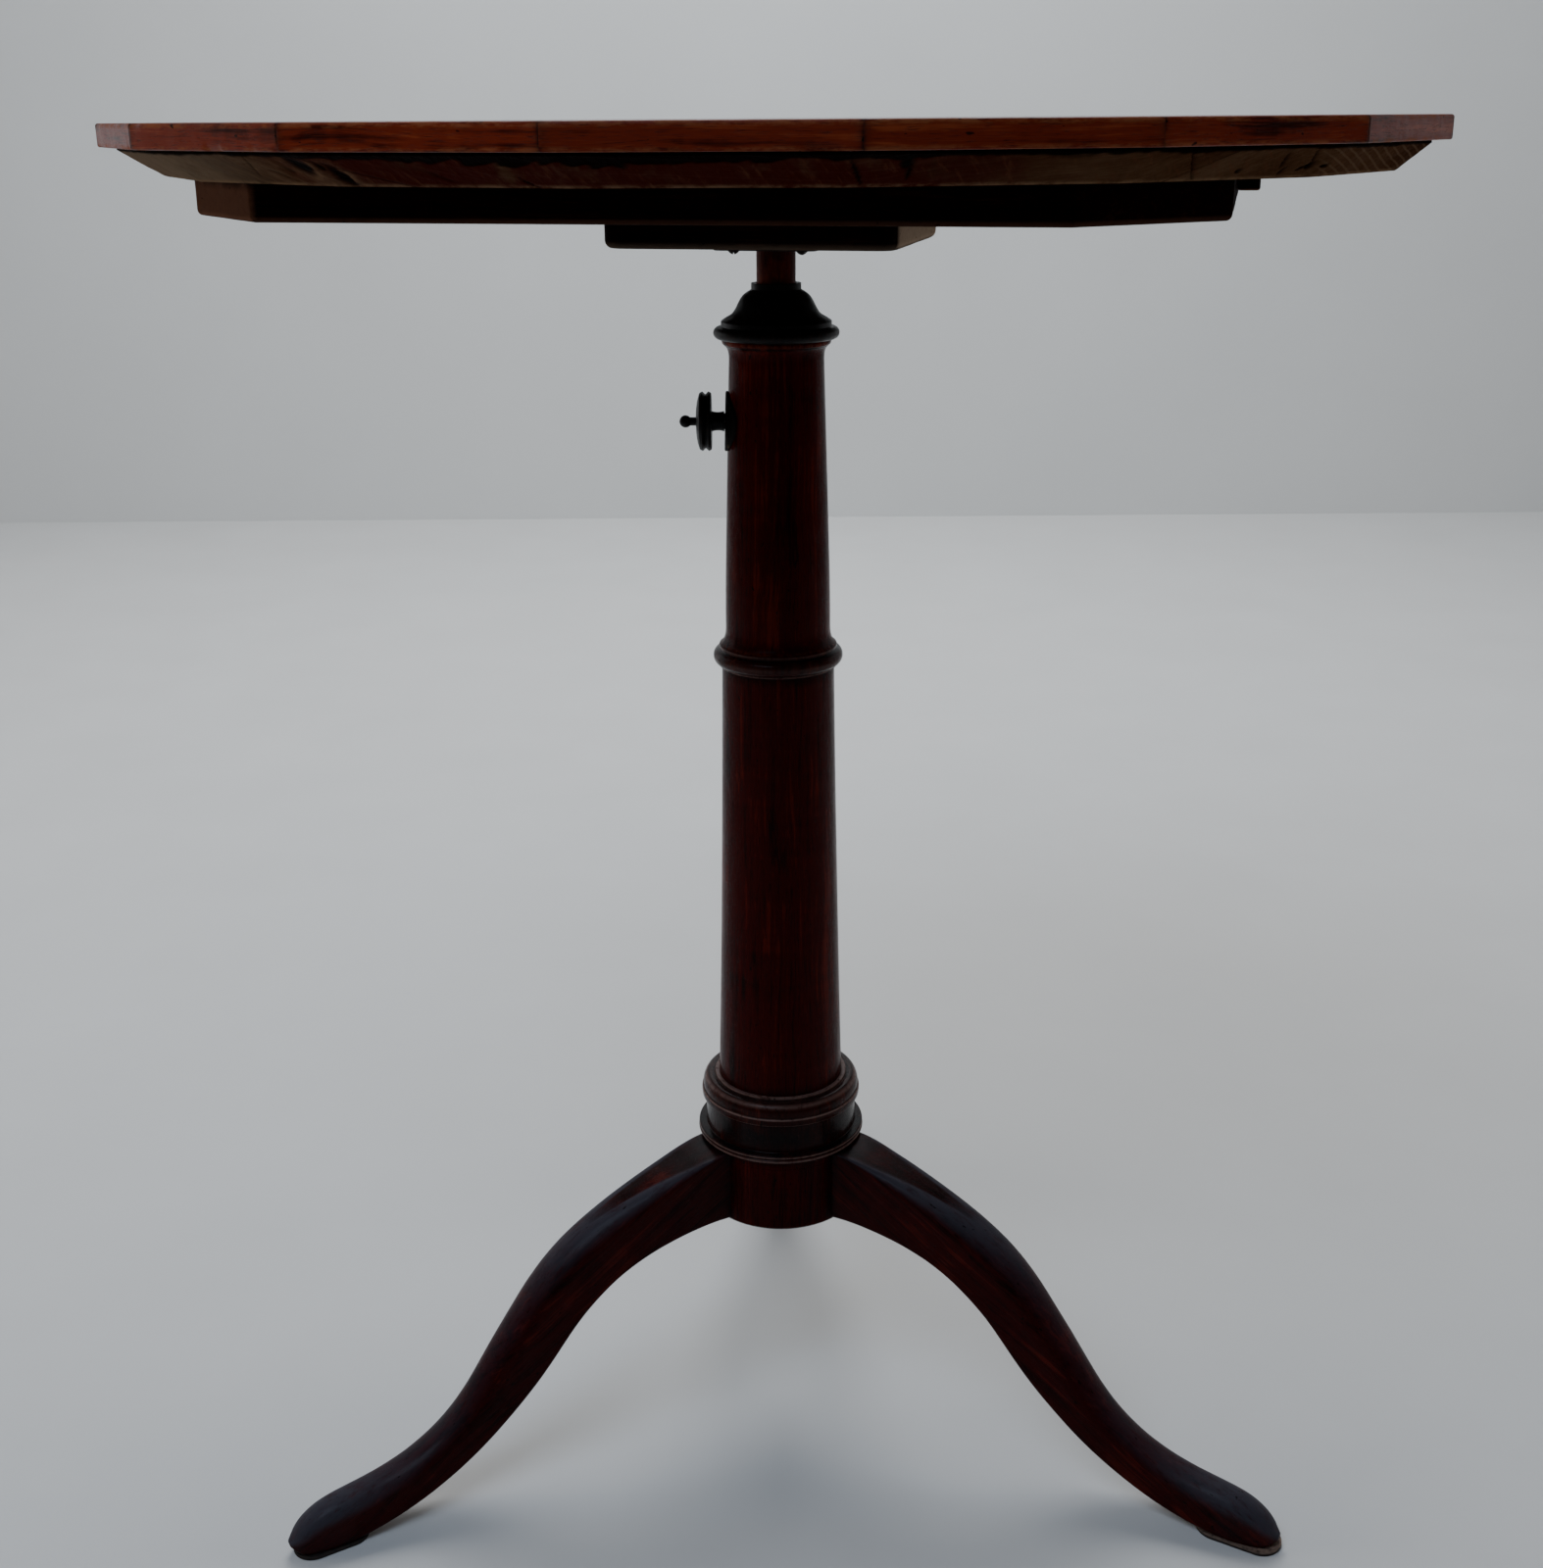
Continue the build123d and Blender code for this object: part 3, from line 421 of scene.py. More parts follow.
def slab(
    outline: Array, foot: float, head: float, foot_round: float, head_round: float, side_rows: int = 4
) -> Skin:
    """A board: its outline stands between two heights, with rounded arrises.

    The arris rings follow a quarter circle: inset by the radius less its sine share,
    and raised by the radius less its cosine share. One more ring just inside each
    arris keeps the shading of the flat faces flat.

    Args:
        outline: Counter-clockwise outline, shape (n, 2).
        foot: Lower height.
        head: Upper height.
        foot_round: Radius of the lower arris.
        head_round: Radius of the upper arris.
        side_rows: Rings on the upright side.

    Returns:
        The closed skin, with wear on its arrises.
    """
    quarter = np.radians(np.linspace(0, 90, 5))
    levels = end_to_end(
        [foot], foot + foot_round * (1 - np.cos(quarter)),
        np.linspace(foot + foot_round, head - head_round, side_rows + 2)[1:-1],
        head - head_round * (1 - np.sin(quarter)), [head],
    )
    insets = end_to_end(
        [foot_round + 0.6], foot_round * (1 - np.sin(quarter)), np.zeros(side_rows),
        head_round * (1 - np.cos(quarter)), [head_round + 0.6],
    )
    skin = ring_stack(np.stack([lifted(inset(outline, d), z) for z, d in zip(levels, insets)]))
    worn_and_highlit = np.zeros(len(levels))
    middle_of_arris = [2, 3, 4, -5, -4, -3]
    worn_and_highlit[middle_of_arris] = 1.0
    skin.wear_and_highlight = np.repeat(worn_and_highlit, len(outline))
    return skin


def put_piece(
    name: str, skin: Skin, body: Body, nodes: list[str], material: Material,
    crease: float = 32.0
) -> None:
    """Make a skin a piece of the scene.

    Args:
        name: The piece's name.
        skin: Its surface, in millimetres.
        body: The body that carries it.
        nodes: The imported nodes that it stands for.
        material: Its finish.
        crease: The angle, in degrees, past which an edge stays sharp.
    """
    mesh = bpy.data.meshes.new(name)
    faces = [face for block in skin.faces for face in block.tolist()]
    mesh.from_pydata((skin.points * MM).tolist(), [], faces)
    mesh.attributes.new("grain", "FLOAT_VECTOR", "POINT").data.foreach_set(
        "vector", (skin.grain * MM).astype(np.float32).ravel()
    )
    # The two masks carry wear with painted highlights, and dirt with painted shade
    for label, values in (("wear_and_highlight", skin.wear_and_highlight), ("grime_and_shade", skin.grime_and_shade)):
        mesh.attributes.new(label, "FLOAT", "POINT").data.foreach_set(
            "value", np.clip(values, 0, 1).astype(np.float32)
        )
    mesh.polygons.foreach_set("use_smooth", np.ones(len(mesh.polygons), bool))
    mesh.set_sharp_from_angle(angle=np.radians(crease))
    mesh.materials.append(material)
    mesh.update()
    piece = bpy.data.objects.new(name, mesh)
    bpy.context.scene.collection.objects.link(piece)
    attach(piece, body.value)
    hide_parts(*nodes)
    LOG.info("%s: %d faces, rides on %s", name, len(mesh.polygons), body.value)


# ---- finishes


class Sheet:
    """The node sheet of one material, with a short call for each kind of node."""

    def __init__(self, name: str) -> None:
        """Start an empty material with a shader and its output."""
        self.material = bpy.data.materials.new(name)
        self.material.use_nodes = True
        self.tree = self.material.node_tree
        self.shader = self.tree.nodes["Principled BSDF"]

    def node(self, kind: str, **settings: object) -> bpy.types.Node:
        """A new node with its settings made."""
        made = self.tree.nodes.new(kind)
        for label, value in settings.items():
            setattr(made, label, value)
        return made

    def feed(self, socket: Socket, value: object) -> None:
        """Link a socket to another, or set it to a constant."""
        if isinstance(value, Socket):
            self.tree.links.new(value, socket)
        elif isinstance(value, tuple) and socket.type == "RGBA":
            socket.default_value = (*value[:3], 1.0)
        else:
            socket.default_value = value

    def read(self, label: str, output: str = "Fac") -> Socket:
        """What the piece's own attribute holds, as one value or as a vector."""
        return self.node("ShaderNodeAttribute", attribute_name=label).outputs[output]

    def place(self) -> Socket:
        """The object's own coordinates, in metres."""
        return self.node("ShaderNodeTexCoord").outputs["Object"]

    def moved(self, vector: object, scale: Colour, shift: Colour = (0.0, 0.0, 0.0)) -> Socket:
        """A vector stretched by a scale for each axis, then shifted."""
        made = self.node("ShaderNodeVectorMath", operation="MULTIPLY_ADD")
        self.feed(made.inputs[0], vector)
        made.inputs[1].default_value = scale
        self.feed(made.inputs[2], shift)
        return made.outputs[0]

    def added(self, first: object, second: object) -> Socket:
        """The sum of two vectors."""
        made = self.node("ShaderNodeVectorMath", operation="ADD")
        self.feed(made.inputs[0], first)
        self.feed(made.inputs[1], second)
        return made.outputs[0]

    def rolled(self, vector: object, angle: float) -> Socket:
        """A vector turned about the y axis."""
        made = self.node("ShaderNodeVectorRotate", rotation_type="Y_AXIS")
        self.feed(made.inputs["Vector"], vector)
        made.inputs["Angle"].default_value = angle
        return made.outputs[0]

    def noise(
        self, vector: object, scale: Colour, detail: float = 3.0, rough: float = 0.55, bend: float = 0.0,
        shift: Colour = (0.0, 0.0, 0.0)
    ) -> Socket:
        """Fractal noise, 0 to 1, with about the scale's count of blobs in a metre of each axis."""
        place = self.moved(vector, scale, shift)
        made = self.node("ShaderNodeTexNoise")
        self.feed(made.inputs["Vector"], place)
        settings = (("Scale", 1.0), ("Detail", detail), ("Roughness", rough), ("Distortion", bend))
        for label, number in settings:
            made.inputs[label].default_value = number
        return made.outputs["Fac"]

    def maths(self, operation: str, first: object, second: object = 0.0, clamp: bool = False) -> Socket:
        """One sum on two values."""
        made = self.node("ShaderNodeMath", operation=operation, use_clamp=clamp)
        self.feed(made.inputs[0], first)
        self.feed(made.inputs[1], second)
        return made.outputs[0]

    def times(self, first: object, second: object, clamp: bool = False) -> Socket:
        """The product of two values."""
        return self.maths("MULTIPLY", first, second, clamp)

    def plus(self, first: object, second: object) -> Socket:
        """The sum of two values."""
        return self.maths("ADD", first, second)

    def less(self, first: object, second: object) -> Socket:
        """The first value less the second."""
        return self.maths("SUBTRACT", first, second)

    def between(
        self, value: object, low: float, high: float, out_low: float = 0.0, out_high: float = 1.0
    ) -> Socket:
        """A value's place between two limits, eased, as a place between two others."""
        made = self.node("ShaderNodeMapRange", interpolation_type="SMOOTHSTEP")
        self.feed(made.inputs["Value"], value)
        limits = (("From Min", low), ("From Max", high), ("To Min", out_low), ("To Max", out_high))
        for label, number in limits:
            made.inputs[label].default_value = number
        return made.outputs[0]

    def shades(self, value: object, stops: list[tuple[float, Colour]]) -> Socket:
        """A colour that runs through the given stops."""
        made = self.node("ShaderNodeValToRGB")
        ramp = made.color_ramp
        while len(ramp.elements) < len(stops):
            ramp.elements.new(0.5)
        for element, (at, colour) in zip(ramp.elements, stops):
            element.position = at
            element.color = (*colour, 1.0)
        self.feed(made.inputs[0], value)
        return made.outputs[0]

    def blended(self, share: object, first: object, second: object) -> Socket:
        """Two colours mixed by a share, on the mix node's sockets for colours."""
        made = self.node("ShaderNodeMix", data_type="RGBA", blend_type="MIX")
        for number, value in ((0, share), (6, first), (7, second)):
            self.feed(made.inputs[number], value)
        return made.outputs[2]

    def relief(self, height: object, depth: float, under: object = None) -> Socket:
        """A bumped normal: a height of one stands the given depth proud, in metres."""
        made = self.node("ShaderNodeBump")
        made.inputs["Strength"].default_value = 1.0
        made.inputs["Distance"].default_value = depth
        self.feed(made.inputs["Height"], height)
        if under is not None:
            self.feed(made.inputs["Normal"], under)
        return made.outputs["Normal"]

    def split(self, vector: object) -> tuple[Socket, Socket, Socket]:
        """A vector's three parts."""
        made = self.node("ShaderNodeSeparateXYZ")
        self.feed(made.inputs[0], vector)
        return made.outputs[0], made.outputs[1], made.outputs[2]

    def finish(self, colour: object, rough: object, normal: object, **constants: float) -> Material:
        """Join colour, roughness and normal to the shader and set its constants."""
        self.feed(self.shader.inputs["Base Color"], colour)
        self.feed(self.shader.inputs["Roughness"], rough)
        self.feed(self.shader.inputs["Normal"], normal)
        for label, value in constants.items():
            self.shader.inputs[label.replace("_", " ")].default_value = value
        return self.material


@dataclass(frozen=True)
class PolishedWood:
    """Stained and polished wood, read along each piece's own grain.

    Attributes:
        name: The material's name.
        dark: Colour of the grain's dark lines.
        middle: Colour of most of the wood.
        light: Colour of the grain's light streaks.
        rubbed_and_highlit: Colour where the polish is worn through, and of painted highlights and sheen.
        gloss: Lowest roughness, on sound polish.
        dull: Highest roughness, on worn polish.
        coat: Weight of the polish's clear coat.
        pores: Depth of the open pores in metres.
        wear_and_highlight: How readily the edges are rubbed through and painted highlights show.
        streaks: How strongly the light streaks show.
        shine: Specular level of the polish seen straight on.
        chafing: The limits of the noise that breaks the rubbed and highlit places up.
    """

    name: str
    dark: Colour
    middle: Colour
    light: Colour
    rubbed_and_highlit: Colour
    gloss: float = 0.28
    dull: float = 0.55
    coat: float = 0.25
    pores: float = 0.00008
    wear_and_highlight: float = 0.6
    streaks: float = 1.0
    shine: float = 0.22
    chafing: tuple[float, float] = (0.40, 0.62)

    def build(self) -> Material:
        """Make the material.

        Long noise along the grain gives streaks, a noise bent across it the growth
        bands, a thresholded fine noise the pores, and the piece's wear-and-highlight and
        grime-and-shade attributes, each broken up by noise, the rubbed edges with painted
        highlights and sheen and the dark corners with painted shade.
        """
        s = Sheet(self.name)
        grain = s.read("grain", "Vector")

        # The patterns of sound wood
        sway = s.noise(grain, (9, 30, 30), 2.0)
        bent = s.added(grain, s.moved(s.less(sway, 0.5), (0.0, 0.011, 0.011)))
        bands = s.noise(bent, (5, 210, 210), 3.0, 0.6, 0.3)
        streak = s.noise(bent, (13, 620, 620), 4.0, 0.65)
        fibre = s.noise(grain, (70, 2600, 2600), 2.0)
        cloud = s.noise(grain, (16, 34, 34), 3.0, shift=(3.1, 1.7, 5.2))
        figure = s.noise(bent, (95, 22, 22), 2.0, 0.5, 0.6, shift=(9.0, 2.0, 4.0))
        pore = s.between(s.noise(grain, (150, 3300, 3300), 1.0), 0.60, 0.70)
        tone = s.plus(s.times(bands, 0.42), s.times(streak, 0.30))
        tone = s.plus(tone, s.times(cloud, 0.24))
        tone = s.plus(tone, s.times(figure, 0.12))
        wood = s.shades(
            s.between(tone, 0.40, 0.68),
            [(0.0, self.dark), (0.42, self.middle), (0.72, self.middle), (1.0, self.light)],
        )
        wood = s.blended(s.times(s.between(fibre, 0.5, 0.75), 0.35 * self.streaks), wood, self.light)
        wood = s.blended(s.times(pore, 0.6), wood, self.dark)

        # Rubbed edges with painted highlights and sheen, specks, and gathered dirt with painted shade
        chafe = s.noise(grain, (90, 330, 330), 4.0, 0.7, shift=(2.0, 7.0, 1.0))
        worn_and_highlit = s.times(s.read("wear_and_highlight"), s.between(chafe, *self.chafing))
        worn_and_highlit = s.times(worn_and_highlit, self.wear_and_highlight, clamp=True)
        wood = s.blended(worn_and_highlit, wood, self.rubbed_and_highlit)
        speck = s.between(s.noise(grain, (210, 420, 420), 1.0, shift=(6.0, 1.0, 2.0)), 0.735, 0.765)
        wood = s.blended(s.times(speck, 0.85), wood, (0.004, 0.002, 0.0015))
        # Dirt and painted shade: the grime-and-shade attribute darkens the wood
        smear = s.noise(grain, (60, 90, 90), 4.0, 0.7, shift=(5.0, 5.0, 5.0))
        dirt_and_shade = s.times(s.read("grime_and_shade"), s.between(smear, 0.25, 0.6), clamp=True)
        wood = s.blended(dirt_and_shade, wood, (0.004, 0.003, 0.003))

        # Gloss and relief
        scuff = s.between(s.noise(grain, (420, 2100, 2100), 2.0, shift=(8.0, 3.0, 6.0)), 0.63, 0.72)
        haze = s.plus(s.times(smear, 0.55), s.times(worn_and_highlit, 0.5))
        haze = s.plus(haze, s.times(scuff, 0.3))
        rough = s.between(haze, 0.15, 0.8, self.gloss, self.dull)
        height = s.plus(s.times(fibre, 0.35), s.times(streak, 0.5))
        height = s.less(height, s.plus(pore, s.times(scuff, 0.3)))
        normal = s.relief(s.noise(grain, (45, 70, 70), 2.0), 0.0006)
        normal = s.relief(height, self.pores, normal)
        return s.finish(
            wood, rough, normal, Coat_Weight=self.coat, Coat_Roughness=0.18, Coat_IOR=1.3,
            IOR=1.36, Specular_IOR_Level=self.shine
        )


@dataclass(frozen=True)
class SawnWood:
    """Old sawn planks, dusty and stained, with joints, growth rings and cracks.

    Attributes:
        name: The material's name.
        dark: Colour of late wood and stain.
        middle: Colour of most of the wood.
        light: Colour of dusty early wood.
        plank: Width of a plank in metres.
        edge: Where the first joint lies across the planks, in metres.
        ring: Distance from one growth ring to the next, in metres.
        pith: How far each plank's heart lies off its middle, in metres.
        stain: How strongly dark stain covers the front.
        stained: Colour of the stain.
        scraped: Colour of the tool's marks in it.
        dust: Colour of the dust towards the left.
        brown: Colour that the wood darkens to towards the right.
        shade: Colour of the painted shade in cracks, knots and the recess under the edge.
        gap: Colour in the joints.
    """

    name: str
    dark: Colour
    middle: Colour
    light: Colour
    plank: float
    edge: float
    ring: float = 0.0072
    pith: float = 0.030
    stain: float = 0.95
    stained: Colour = (0.0360, 0.0026, 0.0010)
    scraped: Colour = (0.085, 0.030, 0.014)
    dust: Colour = (0.150, 0.108, 0.072)
    brown: Colour = (0.050, 0.017, 0.0055)
    shade: Colour = (0.0008, 0.0005, 0.0004)
    gap: Colour = (0.002, 0.0015, 0.001)

    def build(self) -> Material:
        """Make the material.

        The place across the planks gives each plank's number and the place in it. The
        growth rings are a sine of the distance from each plank's heart, so they show
        as arcs on the end grain and as long lines on the faces. At the right-hand end,
        beyond the heart shake, a sine of x plus 2.45 z gives rings that fall outwards.
        """
        s = Sheet(self.name)
        place = s.place()
        x, y, z = s.split(place)

        # Each plank's own place, so that no two share a pattern
        count = s.maths("DIVIDE", s.plus(y, -self.edge), self.plank)
        number = s.maths("FLOOR", count)
        across = s.times(s.less(s.maths("FRACT", count), 0.5), self.plank)
        own = s.node("ShaderNodeCombineXYZ")
        s.feed(own.inputs[0], s.plus(x, s.times(number, 1.37)))
        s.feed(own.inputs[1], s.plus(across, s.times(number, 0.71)))
        s.feed(own.inputs[2], z)
        local = own.outputs[0]

        # Growth rings round each plank's heart, and those that fall outwards at the right
        sway = s.less(s.noise(local, (7, 26, 26), 3.0), 0.5)
        heart = s.plus(s.plus(across, self.pith), s.times(sway, 0.018))
        depth = s.times(s.plus(z, -0.7000), 1.3)
        away = s.maths("SQRT", s.plus(s.times(heart, heart), s.times(depth, depth)))
        turns = s.times(away, 2 * np.pi / self.ring)
        early = s.between(s.maths("SINE", turns), 0.45, 0.95)
        fine = s.maths("SINE", s.times(turns, 4.3))
        late = s.between(fine, 0.2, 1.0)
        fall = s.plus(s.plus(x, s.times(z, 2.45)), s.times(sway, 0.006))
        arcs = s.between(s.maths("SINE", s.times(fall, 2 * np.pi / self.ring)), 0.35, 0.95)
        corner = s.times(s.between(x, 0.199, 0.213), s.between(y, -0.11, -0.08, 1.0, 0.0))
        calm = s.maths("MAXIMUM", corner, s.between(x, 0.03, 0.12, 0.0, 0.75))
        early = s.times(early, s.less(1.0, calm))
        late = s.times(late, s.less(1.0, s.times(calm, 0.7)))

        # Wood, dust and rings
        fibre = s.noise(local, (40, 900, 900), 4.0, 0.7)
        cloud = s.noise(local, (9, 30, 30), 4.0, 0.6, shift=(1.0, 4.0, 2.0))
        dust = s.noise(place, (70, 70, 70), 5.0, 0.7)
        hewn = s.noise(s.rolled(place, 0.7), (420, 60, 60), 4.0, 0.65)
        tone = s.between(s.plus(s.times(fibre, 0.35), s.times(cloud, 0.75)), 0.28, 0.80)
        wood = s.shades(tone, [(0.0, self.dark), (0.5, self.middle), (1.0, self.light)])
        dusty = s.times(s.between(x, -0.245, -0.175, 1.0, 0.0), s.between(dust, 0.30, 0.55, 0.45, 0.75))
        wood = s.blended(dusty, wood, self.dust)
        wood = s.blended(s.between(x, 0.02, 0.12, 0.0, 0.38), wood, self.brown)
        wood = s.blended(s.times(late, 0.16), wood, self.dark)
        wood = s.blended(s.times(early, 0.26), wood, self.light)
        wood = s.blended(s.times(s.times(arcs, corner), 0.55), wood, self.light)

        # Joints, the dark stain at the front with its scraped marks, grey dust with a painted highlight on
        # the lower arris, and painted shade
        joint = s.maths("ABSOLUTE", s.less(s.maths("FRACT", s.plus(count, 0.5)), 0.5))
        seam = s.between(joint, 0.0015, 0.0050, 0.45, 0.0)
        front = s.between(s.plus(y, s.times(cloud, 0.06)), -0.215, -0.165, 1.0, 0.0)
        ragged = s.plus(s.maths("ABSOLUTE", s.plus(x, 0.055)), s.times(dust, 0.10))
        sides = s.between(ragged, 0.14, 0.23, 1.0, 0.0)
        drip = s.between(s.noise(place, (45, 20, 30), 4.0, 0.7, shift=(7.0, 7.0, 7.0)), 0.22, 0.50)
        stained = s.times(s.times(front, sides), drip)
        wood = s.blended(s.times(stained, self.stain), wood, self.stained)
        streaks = s.times(s.times(front, s.between(hewn, 0.54, 0.70)), 0.55)
        wood = s.blended(streaks, wood, self.scraped)
        # Grey dust with a painted highlight along the lower arris
        grey = s.times(s.read("wear_and_highlight"), s.between(dust, 0.35, 0.6))
        wood = s.blended(s.times(grey, 0.8), wood, tuple(min(1.0, c * 1.7) for c in self.light))
        # Painted shade in the hollows and painted shadow under the edge band
        wood = s.blended(s.times(s.read("grime_and_shade"), 0.98), wood, self.shade)
        wood = s.blended(seam, wood, self.gap)

        # Roughness and relief
        rough = s.between(s.less(dust, s.times(stained, 0.3)), 0.2, 0.7, 0.55, 0.9)
        height = s.plus(s.times(fibre, 0.6), s.times(early, 0.5))
        height = s.less(height, s.times(seam, 2.0))
        saw = s.plus(s.noise(place, (260, 90, 14), 2.0, 0.6), hewn)
        normal = s.relief(s.plus(saw, s.times(cloud, 0.8)), 0.0007)
        normal = s.relief(height, 0.00022, normal)
        return s.finish(wood, rough, normal, IOR=1.3, Specular_IOR_Level=0.006)


@dataclass(frozen=True)
class BlackWood:
    """Black-stained turned wood with brown rubbed through it.

    Attributes:
        name: The material's name.
        black: Colour of the stain.
        rubbed_and_highlit: Colour where the stain is worn, and of the lighter bands.
        gloss: Lowest roughness.
        dull: Highest roughness.
        wear_and_highlight: How readily the arrises are rubbed through and the lighter bands show.
    """

    name: str
    black: Colour
    rubbed_and_highlit: Colour
    gloss: float = 0.30
    dull: float = 0.58
    wear_and_highlight: float = 0.5

    def build(self) -> Material:
        """Make the material: fine pores along the grain, hazy gloss and rubbed arrises."""
        s = Sheet(self.name)
        grain = s.read("grain", "Vector")
        fibre = s.noise(grain, (120, 1500, 1500), 3.0, 0.6)
        haze = s.noise(grain, (120, 120, 120), 5.0, 0.7)
        chafe = s.noise(grain, (300, 500, 500), 4.0, 0.7, shift=(4.0, 2.0, 9.0))
        worn_and_highlit = s.times(s.read("wear_and_highlight"), s.between(chafe, 0.45, 0.64))
        worn_and_highlit = s.times(worn_and_highlit, self.wear_and_highlight, clamp=True)
        lift = tuple(c * 2.4 + 0.002 for c in self.black)
        wood = s.blended(s.between(s.times(fibre, haze), 0.15, 0.45), self.black, lift)
        wood = s.blended(worn_and_highlit, wood, self.rubbed_and_highlit)
        # Dirt and painted shade in the creases
        wood = s.blended(s.times(s.read("grime_and_shade"), 0.6), wood, (0.002, 0.002, 0.002))
        rough = s.between(s.plus(haze, s.times(worn_and_highlit, 0.4)), 0.25, 0.85, self.gloss, self.dull)
        normal = s.relief(s.noise(grain, (60, 110, 110), 2.0), 0.0004)
        normal = s.relief(fibre, 0.00006, normal)
        return s.finish(
            wood, rough, normal, Coat_Weight=0.05, Coat_Roughness=0.25, Coat_IOR=1.3,
            IOR=1.3, Specular_IOR_Level=0.3
        )


@dataclass(frozen=True)
class Metal:
    """Old metal with tarnish, pits and rubbed places.

    Attributes:
        name: The material's name.
        bright: Colour of rubbed metal.
        tarnish: Colour of the tarnish over it.
        bare: How much of the metal shows, 0 to 1.
        rough: Roughness of the rubbed metal.
    """

    name: str
    bright: Colour
    tarnish: Colour
    bare: float
    rough: float

    def build(self) -> Material:
        """Make the material: clouds of tarnish, small pits and fine turning marks."""
        s = Sheet(self.name)
        place = s.place()
        cloud = s.noise(place, (160, 160, 160), 6.0, 0.68)
        spots = s.between(s.noise(place, (900, 900, 900), 3.0), 0.60, 0.72)
        shown = s.between(cloud, 0.62 - 0.4 * self.bare, 0.84 - 0.4 * self.bare)
        metal = s.blended(shown, self.tarnish, self.bright)
        metal = s.blended(s.times(spots, 0.8), metal, tuple(c * 0.4 for c in self.tarnish))
        rough = s.between(s.less(1.0, shown), 0.0, 1.0, self.rough, min(0.9, self.rough + 0.35))
        height = s.less(s.times(cloud, 0.6), spots)
        return s.finish(metal, rough, s.relief(height, 0.00012), Metallic=0.85, Specular_IOR_Level=0.5)


@dataclass(frozen=True)
class Leather:
    """Stiff sole leather with scuffs, and much lighter along the top of its rim.

    Attributes:
        name: The material's name.
        dark: Colour in its creases.
        light: Colour of its scuffs.
    """

    name: str
    dark: Colour
    light: Colour

    def build(self) -> Material:
        """Make the material: cells of leather grain under a dusty scuffed cloud."""
        s = Sheet(self.name)
        place = s.place()
        cells = s.node("ShaderNodeTexVoronoi", feature="DISTANCE_TO_EDGE")
        s.feed(cells.inputs["Vector"], s.moved(place, (1400, 1400, 1400)))
        cells.inputs["Scale"].default_value = 1.0
        crease = s.between(cells.outputs["Distance"], 0.0, 0.12)
        scuff = s.noise(place, (260, 260, 500), 5.0, 0.7)
        hide = s.blended(s.between(scuff, 0.38, 0.66), self.dark, self.light)
        hide = s.blended(s.times(s.less(1.0, crease), 0.5), hide, self.dark)
        # Much lighter along the top of the rim
        lip = s.times(s.read("wear_and_highlight"), s.between(scuff, 0.30, 0.55))
        hide = s.blended(lip, hide, tuple(c * 7.0 for c in self.light))
        rough = s.between(scuff, 0.3, 0.7, 0.55, 0.85)
        height = s.plus(s.times(crease, 0.4), scuff)
        return s.finish(hide, rough, s.relief(height, 0.00025), Specular_IOR_Level=0.35)


# Its rubbed colour is wear together with a painted highlight along each facet's lower arris
EDGE_MAHOGANY = PolishedWood(
    "edge_mahogany", (0.024, 0.0028, 0.0010), (0.143, 0.0168, 0.0054), (0.238, 0.0440, 0.015),
    (0.24, 0.072, 0.026), gloss=0.36, dull=0.64, coat=0.04, wear_and_highlight=0.70, shine=0.12,
)
TOP_MAHOGANY = PolishedWood(
    "top_mahogany", (0.025, 0.0045, 0.0018), (0.105, 0.021, 0.0068), (0.185, 0.052, 0.018),
    (0.20, 0.085, 0.040), gloss=0.24, dull=0.52, coat=0.35, wear_and_highlight=0.5,
)
# Its rubbed colour also gives the painted highlights on the upper column's bead and flare foot
COLUMN_MAHOGANY = PolishedWood(
    "column_mahogany", (0.0065, 0.0005, 0.0003), (0.035, 0.0013, 0.0008), (0.088, 0.0064, 0.0022),
    (0.150, 0.035, 0.015), gloss=0.20, dull=0.38, coat=0.05, wear_and_highlight=0.45, streaks=0.7, shine=0.05,
)
# Its pale rubbed colour is mostly painted highlights on the ring's and the moulding's arrises, lip and
# beads
MOULDING_MAHOGANY = PolishedWood(
    "moulding_mahogany", (0.004, 0.0006, 0.0004), (0.022, 0.0024, 0.0014), (0.060, 0.0085, 0.0040),
    (0.270, 0.165, 0.140), gloss=0.18, dull=0.38, coat=0.16, wear_and_highlight=0.70, shine=0.10, chafing=(0.20, 0.55),
)
# Its bluish-grey rubbed colour is the dusty bloom on the legs' upper faces together with a painted sheen of
# the sky
LEG_MAHOGANY = PolishedWood(
    "leg_mahogany", (0.0060, 0.0005, 0.0005), (0.028, 0.0015, 0.0014), (0.070, 0.0070, 0.0040),
    (0.041, 0.040, 0.051), gloss=0.30, dull=0.52, coat=0.12, wear_and_highlight=0.90, shine=0.06, chafing=(0.10, 0.55),
)
SHAFT_WOOD = PolishedWood(
    "shaft_wood", (0.020, 0.0020, 0.0010), (0.078, 0.0068, 0.0024), (0.145, 0.022, 0.007),
    (0.18, 0.055, 0.022), gloss=0.36, dull=0.62, coat=0.0, wear_and_highlight=0.3, shine=0.08,
)
CORE_WOOD = SawnWood(
    "core_wood", (0.016, 0.0062, 0.0026), (0.056, 0.027, 0.0125), (0.105, 0.062, 0.034),
    plank=0.123, edge=-0.246,
)
# Its rubbed colour, spread wide by its chafing limits, is arris wear and the painted light on the plate's
# clipped left corner face
UNDER_WOOD = PolishedWood(
    "under_wood", (0.0016, 0.0006, 0.0004), (0.0065, 0.0016, 0.0010), (0.018, 0.0052, 0.0030),
    (0.120, 0.052, 0.030), gloss=0.60, dull=0.85, coat=0.0, pores=0.00014, wear_and_highlight=0.8, shine=0.01,
    chafing=(-0.35, 0.60),
)
